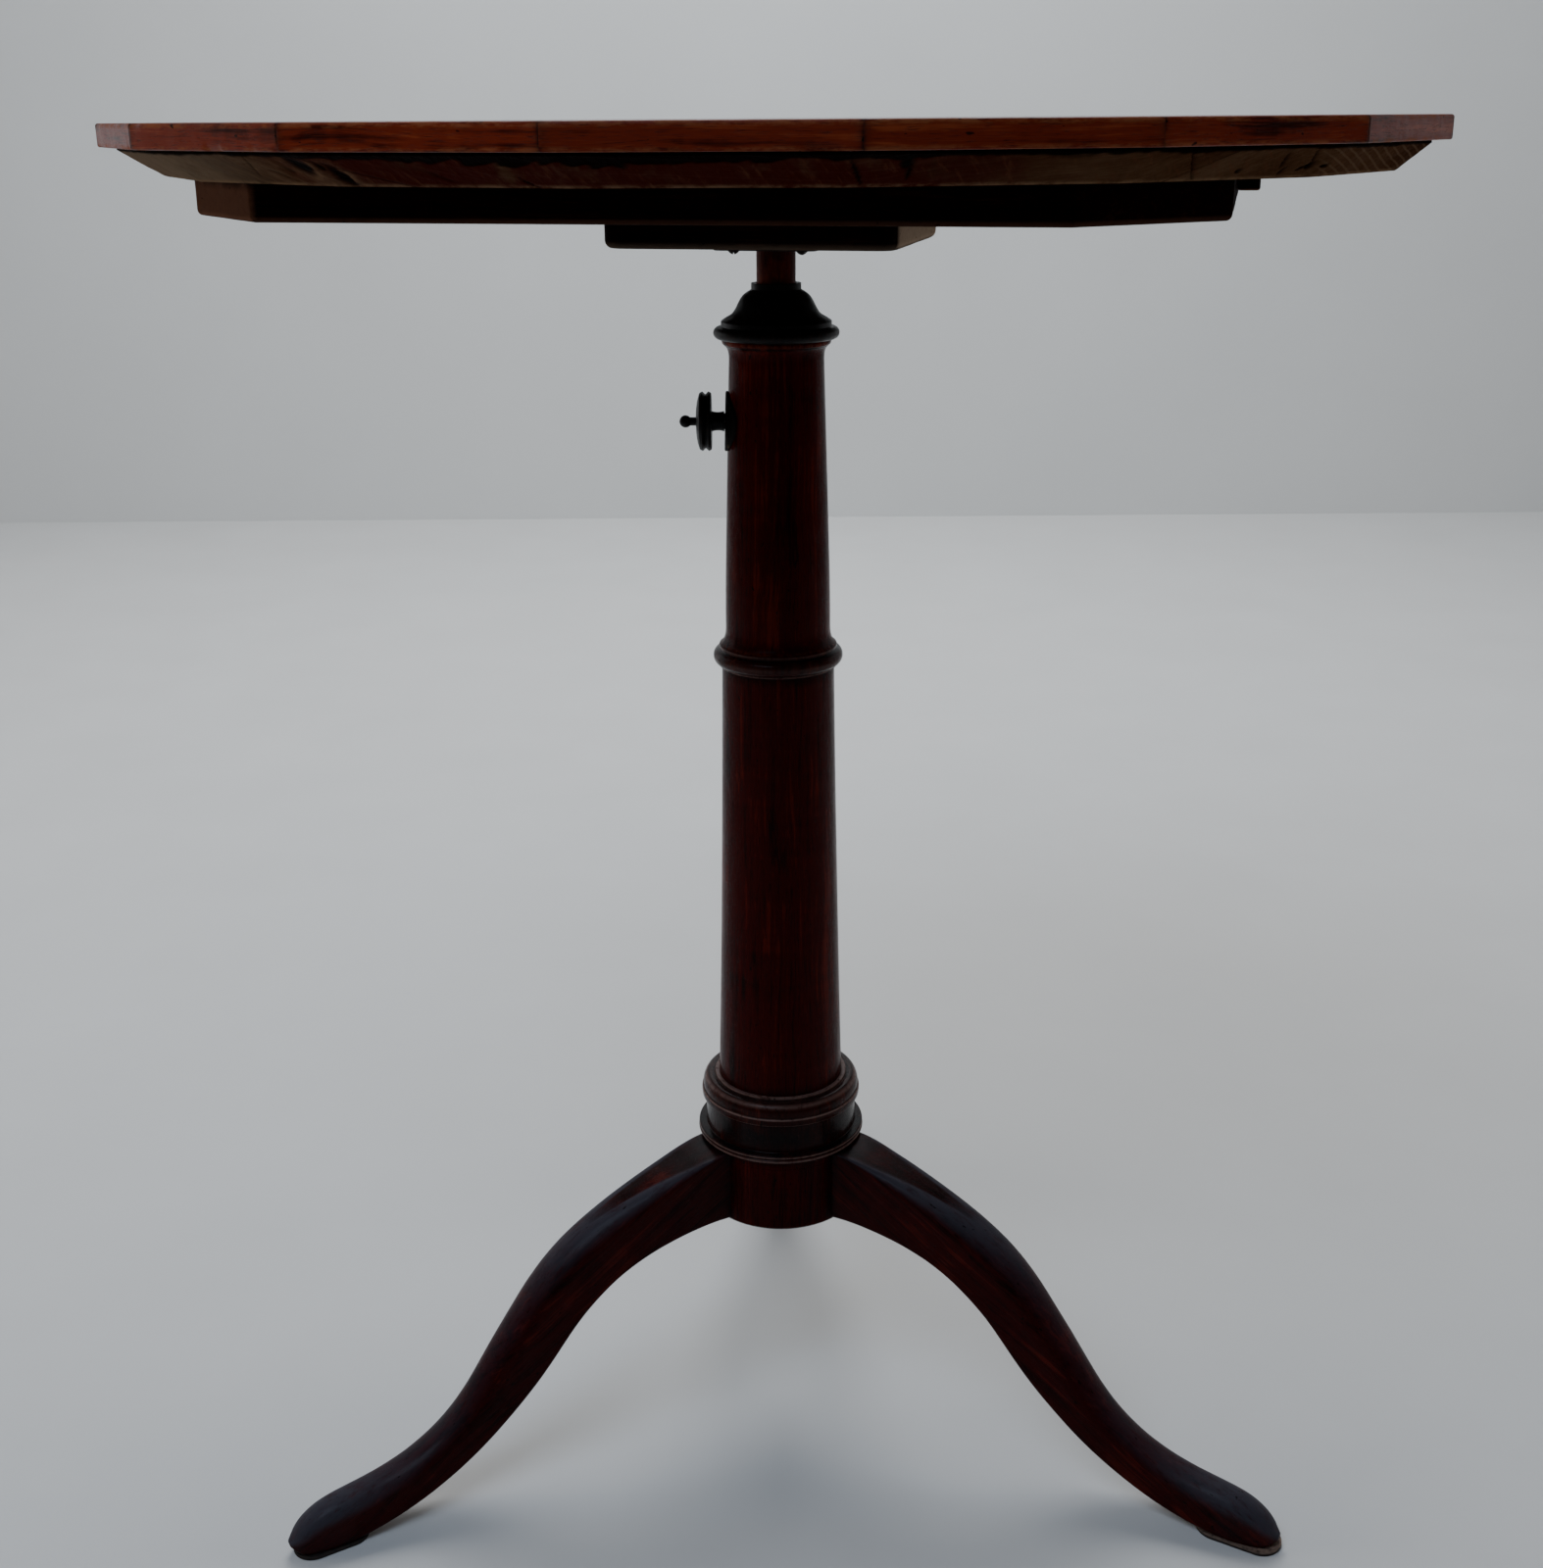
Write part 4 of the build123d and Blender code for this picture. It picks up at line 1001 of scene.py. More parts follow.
# The block's pale rubbed colour paints light on both end faces, as well as its arris wear and lighter lines
# near its top and foot
BLOCK_WOOD = replace(UNDER_WOOD, name="block_wood", rubbed_and_highlit=(0.290, 0.210, 0.150), wear_and_highlight=0.9)
INNER_WOOD = PolishedWood(
    "inner_wood", (0.060, 0.028, 0.012), (0.150, 0.080, 0.038), (0.240, 0.140, 0.072),
    (0.26, 0.16, 0.09), gloss=0.55, dull=0.8, coat=0.0, wear_and_highlight=0.3,
)
EBONISED = BlackWood("ebonised_wood", (0.0018, 0.0014, 0.0014), (0.028, 0.012, 0.008))
IRON = Metal("old_iron", (0.16, 0.15, 0.145), (0.018, 0.012, 0.010), bare=0.25, rough=0.42)
DARK_BRASS = Metal("dark_brass", (0.19, 0.12, 0.05), (0.010, 0.0075, 0.006), bare=0.12, rough=0.38)
PAD_LEATHER = Leather("pad_leather", (0.006, 0.004, 0.003), (0.030, 0.020, 0.015))


Finish = PolishedWood | SawnWood | BlackWood | Metal | Leather


@dataclass
class Finishes:
    """Every finish of the table, made once and asked for by its record."""

    made: dict[str, Material] = field(default_factory=dict)

    def of(self, finish: Finish) -> Material:
        """The finish's material, made when it is first asked for."""
        if finish.name not in self.made:
            self.made[finish.name] = finish.build()
        return self.made[finish.name]


# ---- the top


@dataclass
class EdgeBand:
    """The eighteen mitred boards round the top, each with its own cut of wood.

    The radius is the top's, to its corners, and the joint is the gap at each mitre.
    """

    radius: float = 311.0
    width: float = 55.0
    foot: float = 710.0
    head: float = 720.0
    joint: float = 0.08
    samples: int = 84

    def section(self) -> tuple[Array, Array, Array]:
        """A board's section, its wear with painted highlights and its painted shade.

        A rectangle of depth and height whose corners are quarter circles, walked down
        the outer face, in under the board, up the inner face and out along the top.

        Returns:
            The section, shape (n, 2), as distance inwards and height, and for each of
            its points the wear with painted highlight and the painted shade.
        """
        corners = (
            (1.25, 0.0, self.head, 90), (0.9, 0.0, self.foot, 180),
            (0.2, self.width, self.foot, 270), (0.2, self.width, self.head, 0),
        )
        bends = []
        for bend, depth, level, start in corners:
            turn = np.radians(np.linspace(start, start + 90, 6))
            inwards, upwards = 1 if depth == 0 else -1, 1 if level == self.foot else -1
            centre = np.array([depth + bend * inwards, level + bend * upwards])
            bends.append(centre + bend * np.stack([np.cos(turn), np.sin(turn)], -1))
        parts, worn_and_highlit = [], []
        # Both outer arrises are worn, and along the lower one this is also a painted highlight
        counts, rubbed_and_highlit = (8, 12, 4, 22), (1.0, 1.0, 0.1, 0.1)
        for here, there, count, value in zip(bends, bends[1:] + bends[:1], counts, rubbed_and_highlit):
            parts += [here, np.linspace(here[-1], there[0], count)[1:-1]]
            worn_and_highlit += [np.full(len(here), value), np.zeros(count - 2)]
        loop = np.concatenate(parts)
        # Painted shade on the underside, from 5 mm in from the outer face
        grime_and_shade = np.clip((loop[:, 0] - 5.0) / 6.0, 0, 1) * (loop[:, 1] < self.foot + 0.5)
        return loop, np.concatenate(worn_and_highlit), grime_and_shade

    def board(self, number: int) -> Skin:
        """One board, swept from mitre to mitre.

        A point's place is the straight mix of the two mitre lines at its distance
        inwards. The outer face wanders by a few hundredths, and its lower arris has
        nicks where a slow noise runs high. The last tenth of a millimetre at each end
        draws in, which breaks the mitre's sharp edges.

        Args:
            number: The board's number, from the corner nearest the front.

        Returns:
            The board's skin.
        """
        loop, worn_and_highlit, grime_and_shade = self.section()
        length = 2 * self.radius * np.sin(np.pi / FACETS)
        share = np.linspace(0, 1, self.samples)
        share = np.sort(np.concatenate([share, [0.25 / length, 1 - 0.25 / length]]))
        turn = np.radians(FIRST_CORNER + 360 / FACETS * (number + np.array([0, 1])))
        reach = self.radius - loop[:, 0] / np.cos(np.pi / FACETS)
        ends = np.stack([reach[:, None] * np.cos(turn), reach[:, None] * np.sin(turn)], -1)
        along = ends[0, 1] - ends[0, 0]
        along = along / np.linalg.norm(along)
        outward = np.array([along[1], -along[0]])
        ends[:, 0] += along * self.joint / 2
        ends[:, 1] -= along * self.joint / 2
        level = ends[None, :, 0] * (1 - share)[:, None, None] + ends[None, :, 1] * share[:, None, None]
        height = np.broadcast_to(loop[:, 1], level.shape[:2])
        points = np.concatenate([level, height[..., None]], -1)
        near = 1 - np.clip(loop[:, 0] / 4.0, 0, 1)
        swell = 0.07 * wander(points, 46.0, 40 + number) - 0.03
        arris = np.exp(-(((loop[:, 1] - self.foot) / 1.6) ** 2)) * near
        nick = np.clip(wander(points, 17.0, 80 + number) - 0.92, 0, 0.5) * arris * 2.6
        chip = np.clip(wander(points, 31.0, 120 + number) - 0.95, 0, 0.4)
        crown = chip * near * (loop[:, 1] > self.head - 2)
        push = np.minimum(swell * near - nick - crown * 1.2, 0.0)
        points[..., :2] += push[..., None] * outward
        from_end = np.minimum(share, 1 - share) * length
        tip = from_end < 0.1
        centre = np.array([self.width / 2, (self.foot + self.head) / 2])
        pull = (centre - loop) / np.linalg.norm(centre - loop, axis=1, keepdims=True) * 0.12
        points[tip, :, :2] -= pull[None, :, :1] * outward
        points[tip, :, 2] += pull[None, :, 1]
        skin = ring_stack(points)
        run = (share[:, None] - 0.5) * length + 977.0 * number
        depth, rise = loop[:, 0] + 61.0 * number, loop[:, 1] - 700 + 23.0 * (number % 5)
        skin.grain = np.stack(np.broadcast_arrays(run, depth, rise), -1).reshape(-1, 3)
        end_worn, joint_dirt = (np.exp(-from_end / spread)[:, None] for spread in (1.5, 1.3))
        skin.wear_and_highlight = np.clip(worn_and_highlit + 0.35 * end_worn * near, 0, 1).ravel()
        skin.grime_and_shade = np.clip(grime_and_shade + 0.9 * joint_dirt, 0, 1).ravel()
        return skin

    def build(self, finishes: Finishes) -> None:
        """Make the boards, each in place of its own node."""
        material = finishes.of(EDGE_MAHOGANY)
        for number in range(FACETS):
            name = f"edge_segment_{number + 1:02d}"
            put_piece(f"{name}_board", self.board(number), Body.TOP, [name], material)


@dataclass
class FieldBoards:
    """The boards inside the edge band."""

    radius: float = 311.0 - 55.0 / np.cos(np.pi / FACETS) - 0.05
    foot: float = 710.0
    head: float = 720.0
    count: int = 3
    joint: float = 0.12

    def outline(self, low: float, high: float) -> Array:
        """The part of the eighteen-sided field between two joints.

        The field's outline is cut where it crosses each joint: points outside are
        dropped and the crossing points, found by straight mixing, take their place.

        Args:
            low: The joint nearer the front.
            high: The joint nearer the back.

        Returns:
            The counter-clockwise outline.
        """
        ring = facet_corners(self.radius)
        for limit, side in ((low, 1), (high, -1)):
            height = side * (ring[:, 1] - limit)
            following = np.roll(ring, -1, axis=0)
            next_height = np.roll(height, -1)
            crosses = height * next_height < 0
            mix = (height / np.where(crosses, height - next_height, 1))[:, None]
            cut = ring * (1 - mix) + following * mix
            both = np.stack([ring, cut], 1)
            ring = both[np.stack([height >= 0, crosses], 1)]
        return ring

    def build(self, finishes: Finishes) -> None:
        """Make the boards, their grain from left to right."""
        width = 2 * self.radius / self.count
        for number in range(self.count):
            low = -self.radius + number * width
            ring = self.outline(low + self.joint / 2, low + width - self.joint / 2)
            skin = slab(resampled(ring, 9.0), self.foot, self.head - 0.02, 0.1, 0.22, 2)
            skin.grain = skin.points - [0, low + width / 2, 690.0] + [733.0 * number, 0, 40.0 * number]
            skin.wear_and_highlight *= 0.35
            name = f"field_board_{number + 1}"
            put_piece(f"{name}_panel", skin, Body.TOP, [name], finishes.of(TOP_MAHOGANY))


@dataclass
class CoreBoard:
    """The thick lower board of glued planks, its edge hewn back underneath by hand.

    Attributes:
        radius: Corner radius of the upper arris.
        land: Height of the upright land above the bevel.
        foot: Lower height.
        head: Upper height.
        per_facet: Points along each of the eighteen sides.
        hewing: Height, wavelength and seed of each size of unevenness.
        foot_reach: Angle in degrees and corner radius of the bevel's foot.
        shadow: Angle in degrees and depth of the ragged recess under the edge band, which is cut in and
            also painted dark as its shadow.
        hollows: Angle in degrees, height, length along the edge, height of the hollow,
            its depth and its slant: knots, torn grain, checks and the front's split.
    """

    radius: float = 303.0
    land: float = 1.2
    foot: float = 697.5
    head: float = 710.0
    per_facet: int = 100
    hewing: tuple[Wave, ...] = ((0.30, 38.0, 7), (0.16, 11.0, 8), (0.07, 4.0, 9))
    foot_reach: tuple[tuple[float, float], ...] = (
        (-40.0, 289.0), (0.0, 291.0), (40.0, 287.5), (90.0, 286.0), (140.0, 285.5), (180.0, 284.5),
        (215.0, 284.0), (238.0, 283.0), (262.0, 280.0), (278.0, 281.0), (300.0, 286.0), (320.0, 289.0),
    )
    hollows: tuple[tuple[float, float, float, float, float, float], ...] = (
        (233.6, 705.5, 5.8, 3.9, 2.3, -0.05), (236.5, 701.4, 3.3, 4.4, 2.4, -0.17),
        (235.7, 705.2, 1.3, 1.5, 2.0, 0.0), (231.4, 703.6, 2.4, 1.1, 0.8, -0.3),
        (226.9, 705.0, 0.9, 4.6, 0.8, 1.25), (229.6, 701.4, 5.0, 0.8, 0.6, -0.5),
        (245.0, 701.4, 5.0, 1.0, 0.7, -0.4), (252.2, 698.6, 4.6, 0.7, 1.3, -0.7),
        (275.2, 703.0, 0.9, 4.8, 1.7, -0.66), (278.5, 706.0, 2.6, 2.2, 2.0, 0.0),
        (278.9, 702.8, 1.1, 2.6, 1.8, 0.0), (290.0, 707.6, 9.0, 0.9, 0.8, 0.0),
        (300.7, 703.8, 0.75, 6.8, 1.3, -1.5), (306.3, 700.9, 1.6, 0.9, 1.4, 0.0),
        (310.1, 704.2, 0.8, 3.0, 1.5, -0.9), (311.1, 700.6, 0.9, 1.6, 1.6, 0.2),
        (313.6, 702.4, 1.9, 1.5, 2.0, 0.0), (313.0, 705.3, 0.8, 3.1, 1.9, -1.06),
        (312.9, 701.4, 2.2, 0.8, 1.6, 0.4), (315.4, 702.0, 3.2, 0.7, 1.7, 0.0),
        (321.5, 706.8, 0.8, 1.0, 0.9, 0.3), (145.0, 702.0, 5.0, 2.5, 1.4, 0.2),
        (61.0, 699.0, 4.0, 2.0, 1.4, 0.0), (20.0, 704.0, 4.0, 1.6, 0.9, -0.4),
        (102.0, 705.5, 7.0, 1.5, 1.1, 0.1),
    )
    shadow: tuple[tuple[float, float], ...] = (
        (0.0, 0.0), (228.0, 0.0), (238.0, 0.7), (244.0, 1.6), (250.0, 3.0), (262.0, 2.7),
        (270.0, 1.8), (277.0, 1.2), (281.0, 0.5), (298.0, 0.4), (306.0, 0.2), (359.0, 0.0),
    )

    def rim(self) -> tuple[Array, Array, Array, Array]:
        """The rim before it is hewn: rings of radii down the land and the bevel.

        A ring's radius is the eighteen-sided outline's at each angle, moved in along the
        bevel by its share of the way down. The first four rings close the upper face.

        Returns:
            The angles round the rim in degrees, each ring's height and its share of the
            way down the bevel, and the radii, shape (rings, angles).
        """
        count = FACETS * self.per_facet
        turn = FIRST_CORNER + 360 / count * np.arange(count)
        from_middle = (np.arange(count) % self.per_facet) * 360 / count - 180 / FACETS
        polygon = np.cos(np.pi / FACETS) / np.cos(np.radians(from_middle))
        table = np.array(self.foot_reach)
        foot_radius = np.interp(turn % 360, table[:, 0] % 360, table[:, 1], period=360)
        top = self.head - self.land
        level = np.concatenate([[self.head] * 3, [self.head - 0.1], np.linspace(top, self.foot + 0.35, 28)])
        share = np.clip((top - level) / (top - self.foot), 0, 1)
        radius = (self.radius + share[:, None] * (foot_radius - self.radius)) * polygon
        radius[:4] -= np.array([302.98, 150.0, 25.0, 0.1])[:, None]
        return turn, level, share, np.maximum(radius, 0.02)

    def carve(self, spots: Array, turn: Array) -> tuple[Array, Array, Array]:
        """Work out the hollows.

        A hollow's depth follows a steep bell curve of the distance from its middle,
        counted in its own length and height. A wide one slants along its length and a
        tall one along its height. Each is painted dark as shade, the more the deeper up
        to 1.6 mm, and the deepest have a pale halo, a wider bell.

        Args:
            spots: The rim's points, shape (rings, angles, 3).
            turn: The angles round the rim, in degrees.

        Returns:
            For each point its depth in all hollows, its painted shade and its pale halo.
        """
        depths, shade, halo = (np.zeros(spots.shape[:2]) for _ in range(3))
        for at, height, length, tall, depth, slant in self.hollows:
            round_way = ((turn - at + 180) % 360 - 180) * np.radians(1) * self.radius
            along = round_way[None] + 0.12 * length * wander(spots, 5.0, int(at))
            up = spots[..., 2] - height
            wide = length > tall
            reach = (along - (0.0 if wide else slant * up)) / length
            rise = up - (slant * along if wide else 0.0)
            bell = np.exp(-((reach**2 + (rise / tall) ** 2) ** 2.2))
            depths += depth * bell
            shade = np.maximum(shade, bell * min(1.0, depth / 1.6))
            wider = ((along - 0.8) / (length + 2.4)) ** 2 + (rise / (tall + 1.5)) ** 2
            halo = np.maximum(halo, np.exp(-(wider**2)) * (depth > 2.1))
        return depths, shade, halo

    def build(self, finishes: Finishes) -> None:
        """Make the board.

        The grid goes round by angle and down the rim by height. The bevel is pushed in
        by three sizes of wander, by the hollows and by the ragged recess under the edge
        band, and rings further and further in make the underside.
        """
        turn, level, share, radius = self.rim()
        angle = np.radians(turn)
        heights = np.repeat(level[:, None], len(turn), axis=1)
        spots = np.stack([radius * np.cos(angle), radius * np.sin(angle), heights], -1)
        depths, shade, halo = self.carve(spots, turn)
        window = np.interp(turn % 360, *np.array(self.shadow).T, period=360)
        ragged = wanders(spots, (0.6, 15.0, 31), (0.35, 6.0, 32))
        recess = 0.7 + 0.3 * ragged + window * (1.0 + 0.45 * ragged)
        push = wanders(spots, *self.hewing) - 0.35 - depths
        push = push - 0.9 * np.clip((heights - self.head + self.land + recess) / 0.8, 0, 1)
        push = np.minimum(push, 0.0) * np.clip(share * 6, 0, 1)[:, None]
        radius = radius + 0.95 * push
        heights = heights + 0.25 * push * (1 - share)[:, None]
        rim = heights[-1] + 0.10 + 0.12 * wander(spots[-1], 23.0, 5)
        heights[-1] = np.clip(rim, self.foot + 0.12, self.foot + 0.9)
        # The painted shadow under the edge band, following the ragged recess
        step = np.clip((heights - self.head + self.land + recess) / 0.5, 0, 1)

        inward = np.array([0.7, 6.0, 30.0, 90.0, 180.0, 262.0])[:, None]
        below = np.zeros((len(inward), len(turn)))
        shade, step, halo = (np.vstack([values, below]) for values in (shade, step, halo))
        radius = np.vstack([radius, np.maximum(radius[-1] - inward, 0.5)])
        heights = np.vstack([heights, below + self.foot])
        rings = np.stack([radius * np.cos(angle), radius * np.sin(angle), heights], -1)
        skin = ring_stack(rings[::-1])
        # Painted shade in the hollows and painted shadow under the edge band
        skin.grime_and_shade = np.clip(shade + 0.95 * step, 0, 1)[::-1].ravel()
        # Grey dust with a painted highlight along the lower arris, and a pale halo round the deepest
        # hollows
        rubbed_and_highlit = np.zeros_like(heights)
        lower_arris = slice(29, 33)
        rubbed_and_highlit[lower_arris] = np.array([0.25, 0.6, 0.9, 0.5])[:, None]
        halo = np.clip(halo - shade, 0, 1)
        skin.wear_and_highlight = np.clip(rubbed_and_highlit * (1 - shade) + 0.9 * halo, 0, 1)[::-1].ravel()
        nodes = [f"core_plank_{number}" for number in range(1, 7)]
        put_piece("core_board", skin, Body.TOP, nodes, finishes.of(CORE_WOOD), crease=40)


@dataclass
class UnderFrame:
    """What lies under the planks: the plate, its cleat, the bearer block and the iron."""

    plate_across: float = 438.0
    plate_foot: float = 682.0
    plank_foot: float = 697.5
    corner_leg: float = 55.0
    cleat_length: float = 96.0
    cleat_reach: float = 10.0
    cleat_thickness: float = 8.5
    block_length: float = 143.0
    block_width: float = 119.0
    block_foot: float = 662.5
    iron_across: float = 51.0
    pivot: float = 660.0
    grain_step: float = 313.0

    def plate_outline(self) -> Array:
        """The square with clipped corners, before it is turned."""
        half, cut = self.plate_across / 2, self.plate_across / 2 - self.corner_leg
        corners = [(half, -cut), (half, cut), (cut, half), (-cut, half)]
        return np.array(corners + [(-x, -y) for x, y in corners], float)

    def dressed(self, skin: Skin, seed: int, amount: float) -> Skin:
        """Turn a skin with the frame and make its sides a little uneven.

        Args:
            skin: The piece, before it is turned.
            seed: Picks the unevenness.
            amount: The most that the sides move in, in millimetres.

        Returns:
            The same skin, moved.
        """
        skin.grain = skin.points + [self.grain_step * seed, 0, 0]
        away = skin.points[:, :2] / np.maximum(np.linalg.norm(skin.points[:, :2], axis=1, keepdims=True), 1)
        dip = amount * (0.5 + 0.5 * wander(skin.points, 30.0, seed))
        skin.points[:, :2] -= away * np.clip(dip, 0, amount)[:, None]
        skin.points = turned_level(skin.points, UNDER_FRAME_TURN)
        return skin

    def build(self, finishes: Finishes) -> None:
        """Make the four pieces in place of their nodes."""
        under = finishes.of(UNDER_WOOD)
        outline = resampled(softened(self.plate_outline(), 0.8), 2.5)
        plate = self.dressed(slab(outline, self.plate_foot, self.plank_foot, 2.5, 0.3, 6), 3, 0.35)
        # The clipped left corner face gets painted light; the arrises keep 0.35 of their wear
        diagonal = self.grain_step * 3 - plate.grain[:, 0] - plate.grain[:, 1]
        lit_clipped_face = (diagonal > 381.5) & (plate.points[:, 0] < -150)
        plate.wear_and_highlight = np.clip(0.35 * plate.wear_and_highlight + 0.8 * lit_clipped_face, 0, 1)
        # Painted shade along the plate's top 3.5 mm, under the overhanging planks
        plate.grime_and_shade = 0.85 * np.clip((plate.points[:, 2] - self.plank_foot + 3.5) / 3.0, 0, 1)
        put_piece("under_plate_board", plate, Body.TOP, ["under_plate"], under)

        start, end = self.plate_across / 2 + 0.4, self.plate_across / 2 + self.cleat_reach
        half = self.cleat_length / 2
        strip = softened(np.array([(start, -half), (end, -half), (end, half), (start, half)]), 4.6)
        foot = self.plank_foot - self.cleat_thickness
        cleat = self.dressed(slab(resampled(strip, 3.0), foot, self.plank_foot - 0.02, 0.9, 0.3), 5, 0.2)
        put_piece("side_cleat_strip", cleat, Body.TOP, ["side_cleat"], under)

        square = resampled(rounded_square(self.block_length, self.block_width, 10.0), 4.0)
        block = self.dressed(slab(square, self.block_foot, self.plate_foot - 0.02, 3.5, 0.8, 8), 9, 0.3)
        # Painted light on both end faces of the block; lighter lines near its top and along its foot
        ends = np.clip((np.abs(block.grain[:, 0] - self.grain_step * 9) - 70.2) / 0.8, 0, 1)
        upper_line = 0.10 * np.exp(-(((block.points[:, 2] - 680.4) / 0.9) ** 2))
        lines = upper_line + 0.07 * (block.points[:, 2] < 664.5)
        block.wear_and_highlight = np.clip(0.12 * block.wear_and_highlight + lines + ends, 0, 1)
        name, wood = "bearer_block", finishes.of(BLOCK_WOOD)
        put_piece(f"{name}_body", block, Body.TOP, [name], wood)

        square = rounded_square(self.iron_across, self.iron_across, 3.0)
        iron = self.dressed(slab(square, self.pivot, self.block_foot - 0.02, 0.45, 0.2, 1), 2, 0.05)
        put_piece("pivot_plate_iron", iron, Body.TOP, ["pivot_plate"], finishes.of(IRON))


@dataclass
class SlottedScrews:
    """A pattern of slotted screws whose heads look down.

    Attributes:
        name: The piece's name.
        node: The node that it stands for.
        seats: Places along x and y, before the frame's turn.
        level: Height of the wood or iron that the heads touch.
        head: Radius of a head.
        crown: How far a head's middle stands proud.
        shank: Radius of a shank.
        slot_angle: Angle of the first slot, in degrees.
    """

    name: str
    node: str
    seats: Array
    level: float
    head: float
    crown: float
    shank: float
    slot_angle: float = 20.0

    def one(self, across: float, along: float, turn: float) -> Skin:
        """One screw: a domed disc with a slot, over a tapering shank.

        The head is a grid of chords. Its height is a flat dome, a parabola of the
        distance from the middle, less the slot's depth inside the slot's width.

        Args:
            across: Place along x, before the frame's turn.
            along: Place along y.
            turn: Angle of the slot in degrees.

        Returns:
            The screw's skin, in the frame's own directions.
        """
        half_slot = 0.11 * self.head
        side = end_to_end(np.linspace(-1, -0.16, 9) * self.head, [-half_slot])
        x = end_to_end(side, [-half_slot * 0.98, half_slot * 0.98], -side[::-1])
        v = np.sin(np.linspace(-0.5, 0.5, 15) * np.pi)
        chord = np.sqrt(np.maximum(self.head**2 - x**2, (0.04 * self.head) ** 2))
        spot_x, spot_y = np.broadcast_arrays(x[:, None], chord[:, None] * v)
        reach = np.clip((spot_x**2 + spot_y**2) / self.head**2, 0, 1)
        dome = self.crown * (1 - reach) + 0.05
        slot = (np.abs(spot_x) < half_slot) * min(0.75 * self.head * 0.35, dome.max() + 0.5)
        top = np.stack([spot_x, spot_y, -(dome - slot)], -1)
        rows, columns = top.shape[:2]
        between = np.arange(1, rows - 1)
        last_row = (rows - 1) * columns + np.arange(columns)
        rim = end_to_end(
            np.arange(columns), (between + 1) * columns - 1, last_row[::-1], between[::-1] * columns
        )
        points = top.reshape(-1, 3)
        edge = points[rim]
        narrow = self.shank / self.head
        levels = ((1.0, 0.05), (narrow, self.head - self.shank), (narrow * 0.98, 9.0))
        points = np.vstack([points, *(lifted(edge[:, :2] * share, z) for share, z in levels)])
        start = rows * columns
        count = len(rim)
        here = np.arange(count)
        there = (here + 1) % count
        skirt = np.stack([rim, rim[there], start + there, start + here], -1)
        tube = grid_faces(3, count) + start
        face = grid_faces(rows, columns, loop_columns=False)
        # The rim runs clockwise seen from above, so what hangs from it is turned to face outwards
        faces = [face, skirt[:, ::-1], tube[:, ::-1], (start + 2 * count + here)[None, ::-1]]
        skin = Skin.of(points, faces)
        skin.points = turned_level(skin.points, turn) + [across, along, self.level]
        return skin

    def build(self, finishes: Finishes) -> None:
        """Make the whole pattern as one piece, each slot at its own angle."""
        turns = self.slot_angle + 47.0 * np.arange(len(self.seats))
        skin = Skin.joined([self.one(x, y, turn) for (x, y), turn in zip(self.seats, turns)])
        skin.points = turned_level(skin.points, UNDER_FRAME_TURN)
        put_piece(self.name, skin, Body.TOP, [self.node], finishes.of(IRON))


def grid_seats(span_x: float, span_y: float) -> Array:
    """Four places at the corners of a level rectangle."""
    return np.array([(sx * span_x / 2, sy * span_y / 2) for sx in (-1, 1) for sy in (-1, 1)])


# ---- the column


